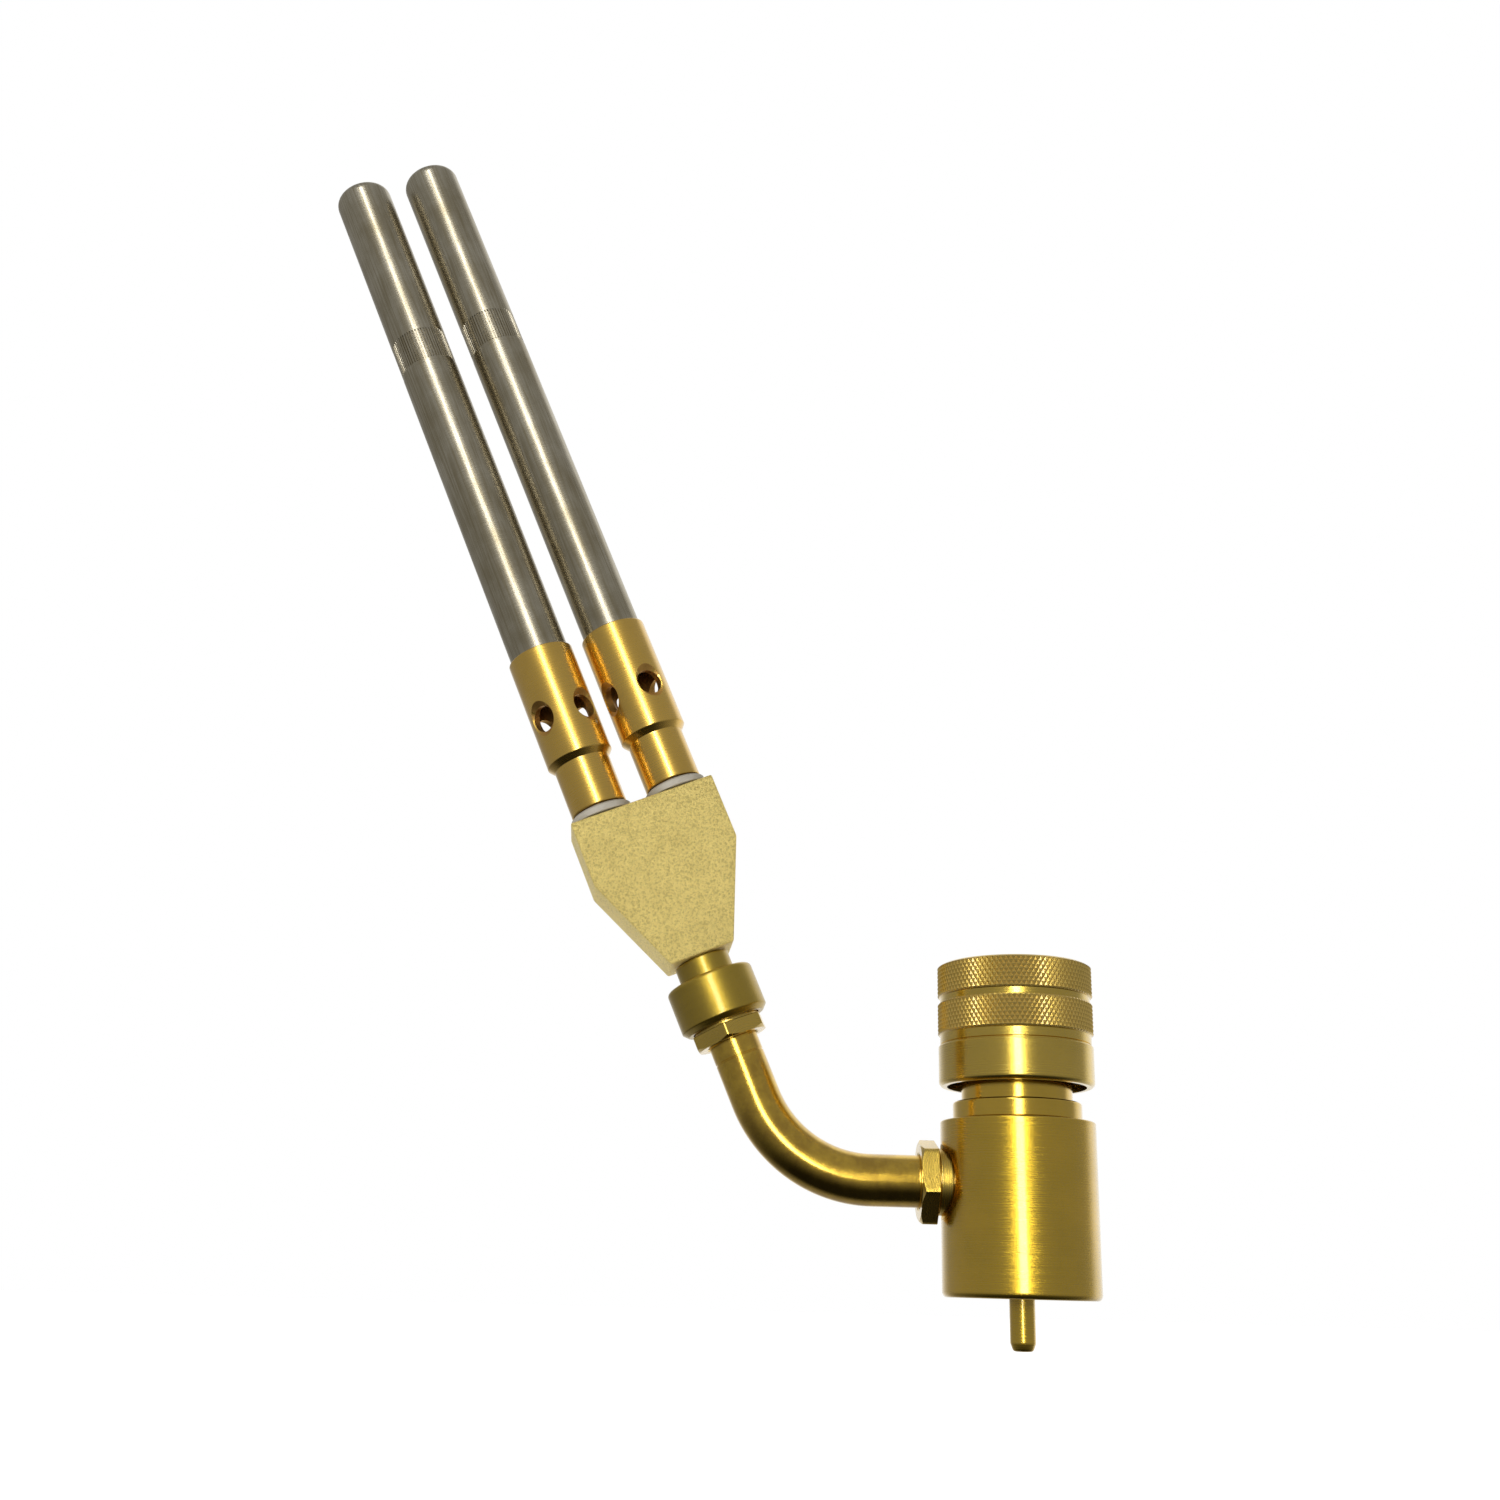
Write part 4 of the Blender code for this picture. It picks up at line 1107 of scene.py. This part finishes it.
# ---------------------------------------------------------------- stage
FLOOR_Z = -0.45             # metres
FLOOR_HALF = 40.0           # metres
FLOOR_GLOW = 0.75           # keeps the paper white where no light falls on it
CAMERA_AT = (-0.05950, -0.32558, 0.00006)
CAMERA_PITCH = 18.54        # degrees above the horizon
CAMERA_YAW = -0.78          # degrees, to the right of +Y
CAMERA_ROLL = 1.60
CAMERA_LENS = 38.743        # mm
CAMERA_SENSOR = 36.0        # mm
CAMERA_CLIP = (0.01, 100.0)  # metres

# Light levels by direction: (from, to, level at from, level at to) on one axis.
BEHIND_Y = (0.08, 0.62, 0.0, 1.0)
BEHIND_LEFT_X = (-0.75, 0.0, 0.28, 1.0)
BEHIND_UNDER_Z = (-0.6, -0.1, 0.35, 1.0)
FRONT_Z = (-1.0, 1.0, 0.26, 0.34)
FRONT_UNDER_Z = (-0.85, -0.05, 0.05, 1.0)
ROOM_WHITE = (1.0, 0.99, 0.96, 1)


def add_camera():
    data = bpy.data.cameras.new("camera")
    data.sensor_width = CAMERA_SENSOR
    data.lens = CAMERA_LENS
    data.clip_start, data.clip_end = CAMERA_CLIP
    camera = bpy.data.objects.new("camera", data)
    bpy.context.scene.collection.objects.link(camera)
    turn = (Matrix.Rotation(math.radians(CAMERA_YAW), 4, "Z")
            @ Matrix.Rotation(math.radians(90 + CAMERA_PITCH), 4, "X")
            @ Matrix.Rotation(math.radians(CAMERA_ROLL), 4, "Z"))
    camera.matrix_world = Matrix.Translation(CAMERA_AT) @ turn
    bpy.context.scene.camera = camera


def add_floor():
    bm = bmesh.new()
    bmesh.ops.create_grid(bm, x_segments=1, y_segments=1, size=FLOOR_HALF)
    mesh = bpy.data.meshes.new("floor")
    bm.to_mesh(mesh)
    bm.free()
    floor = bpy.data.objects.new("floor", mesh)
    bpy.context.scene.collection.objects.link(floor)
    floor.location = (0, 0, FLOOR_Z)
    material = bpy.data.materials.new("floor_paper")
    material.use_nodes = True
    shader = material.node_tree.nodes["Principled BSDF"]
    shader.inputs["Base Color"].default_value = (0.9, 0.9, 0.9, 1)
    shader.inputs["Roughness"].default_value = 0.9
    shader.inputs["Specular IOR Level"].default_value = 0.0
    shader.inputs["Emission Color"].default_value = (1, 1, 1, 1)
    shader.inputs["Emission Strength"].default_value = FLOOR_GLOW
    mesh.materials.append(material)
    floor.visible_glossy = False


def add_world():
    """White to the eye; as light, bright behind the torch, dimmer to the left, low and in front."""
    world = bpy.data.worlds.new("studio")
    bpy.context.scene.world = world
    world.use_nodes = True
    tree = world.node_tree
    tree.nodes.clear()
    link = tree.links.new

    def add(kind, **settings):
        node = tree.nodes.new(kind)
        for key, value in settings.items():
            setattr(node, key, value)
        return node

    def ramp(axis, numbers):
        node = add("ShaderNodeMapRange", interpolation_type="SMOOTHSTEP")
        link(split.outputs[axis], node.inputs["Value"])
        for name, number in zip(("From Min", "From Max", "To Min", "To Max"), numbers):
            node.inputs[name].default_value = number
        return node.outputs["Result"]

    def combine(operation, first, second):
        node = add("ShaderNodeMath", operation=operation)
        link(first, node.inputs[0])
        link(second, node.inputs[1])
        return node.outputs[0]

    coordinates = add("ShaderNodeTexCoord")
    split = add("ShaderNodeSeparateXYZ")
    link(coordinates.outputs["Generated"], split.inputs[0])
    behind = combine("MULTIPLY", ramp("Y", BEHIND_Y), ramp("X", BEHIND_LEFT_X))
    behind = combine("MULTIPLY", behind, ramp("Z", BEHIND_UNDER_Z))
    front = combine("MULTIPLY", ramp("Z", FRONT_Z), ramp("Z", FRONT_UNDER_Z))
    level = combine("MAXIMUM", front, behind)
    room = add("ShaderNodeBackground")
    room.inputs["Color"].default_value = ROOM_WHITE
    link(level, room.inputs["Strength"])
    white = add("ShaderNodeBackground")
    white.inputs["Color"].default_value = (1, 1, 1, 1)
    white.inputs["Strength"].default_value = 1.0
    path = add("ShaderNodeLightPath")
    mixer = add("ShaderNodeMixShader")
    link(path.outputs["Is Camera Ray"], mixer.inputs[0])
    link(room.outputs[0], mixer.inputs[1])
    link(white.outputs[0], mixer.inputs[2])
    output = add("ShaderNodeOutputWorld")
    link(mixer.outputs[0], output.inputs["Surface"])


def add_softbox(name, at, target, size, radiance, up=(0, 0, 1)):
    """A rectangular light; radiance is its brightness as a mirror would show it."""
    data = bpy.data.lights.new(name, "AREA")
    data.shape = "RECTANGLE"
    data.size, data.size_y = size
    data.energy = radiance * math.pi * size[0] * size[1]
    light = bpy.data.objects.new(name, data)
    bpy.context.scene.collection.objects.link(light)
    back = (Vector(at) - Vector(target)).normalized()
    side = Vector(up).cross(back).normalized()
    turn = Matrix((side, back.cross(side), back)).transposed().to_4x4()
    light.matrix_world = Matrix.Translation(at) @ turn
    light.visible_camera = False


def main():
    mats = make_materials()
    outlet = (Matrix.Translation((-BODY_R, 0, OUTLET_Z))
              @ Matrix.Rotation(-math.pi / 2, 4, "Y"))
    head, lean = head_matrix(HEAD_TWIST)
    make_barrel(mats, outlet)
    make_bonnet(mats)
    make_knob(mats)
    make_inlet(mats)
    make_outlet(mats, outlet)
    make_bent_tube(mats, lean)
    make_swivel(mats, head)
    make_block(mats, head)
    for side, sign in (("left", -1), ("right", 1)):
        place = head @ Matrix.Translation((sign * BURNER_X, 0, BLOCK_Z + BLOCK_H))
        make_collar(mats, side, place)
        make_flame_tube(mats, side, place)
    dress_inner_nodes(mats)

    bpy.context.scene.view_settings.view_transform = "Standard"
    add_camera()
    add_floor()
    add_world()
    add_softbox("key_low", at=(-0.115, -0.95, 0.16), target=(-0.04, 0, 0.05),
                size=(0.19, 0.50), radiance=8.0)
    add_softbox("key_high", at=(-0.26, -0.95, 0.70), target=(-0.08, 0, 0.15),
                size=(0.19, 0.66), radiance=6.0, up=(-0.37, 0, 0.93))


main()
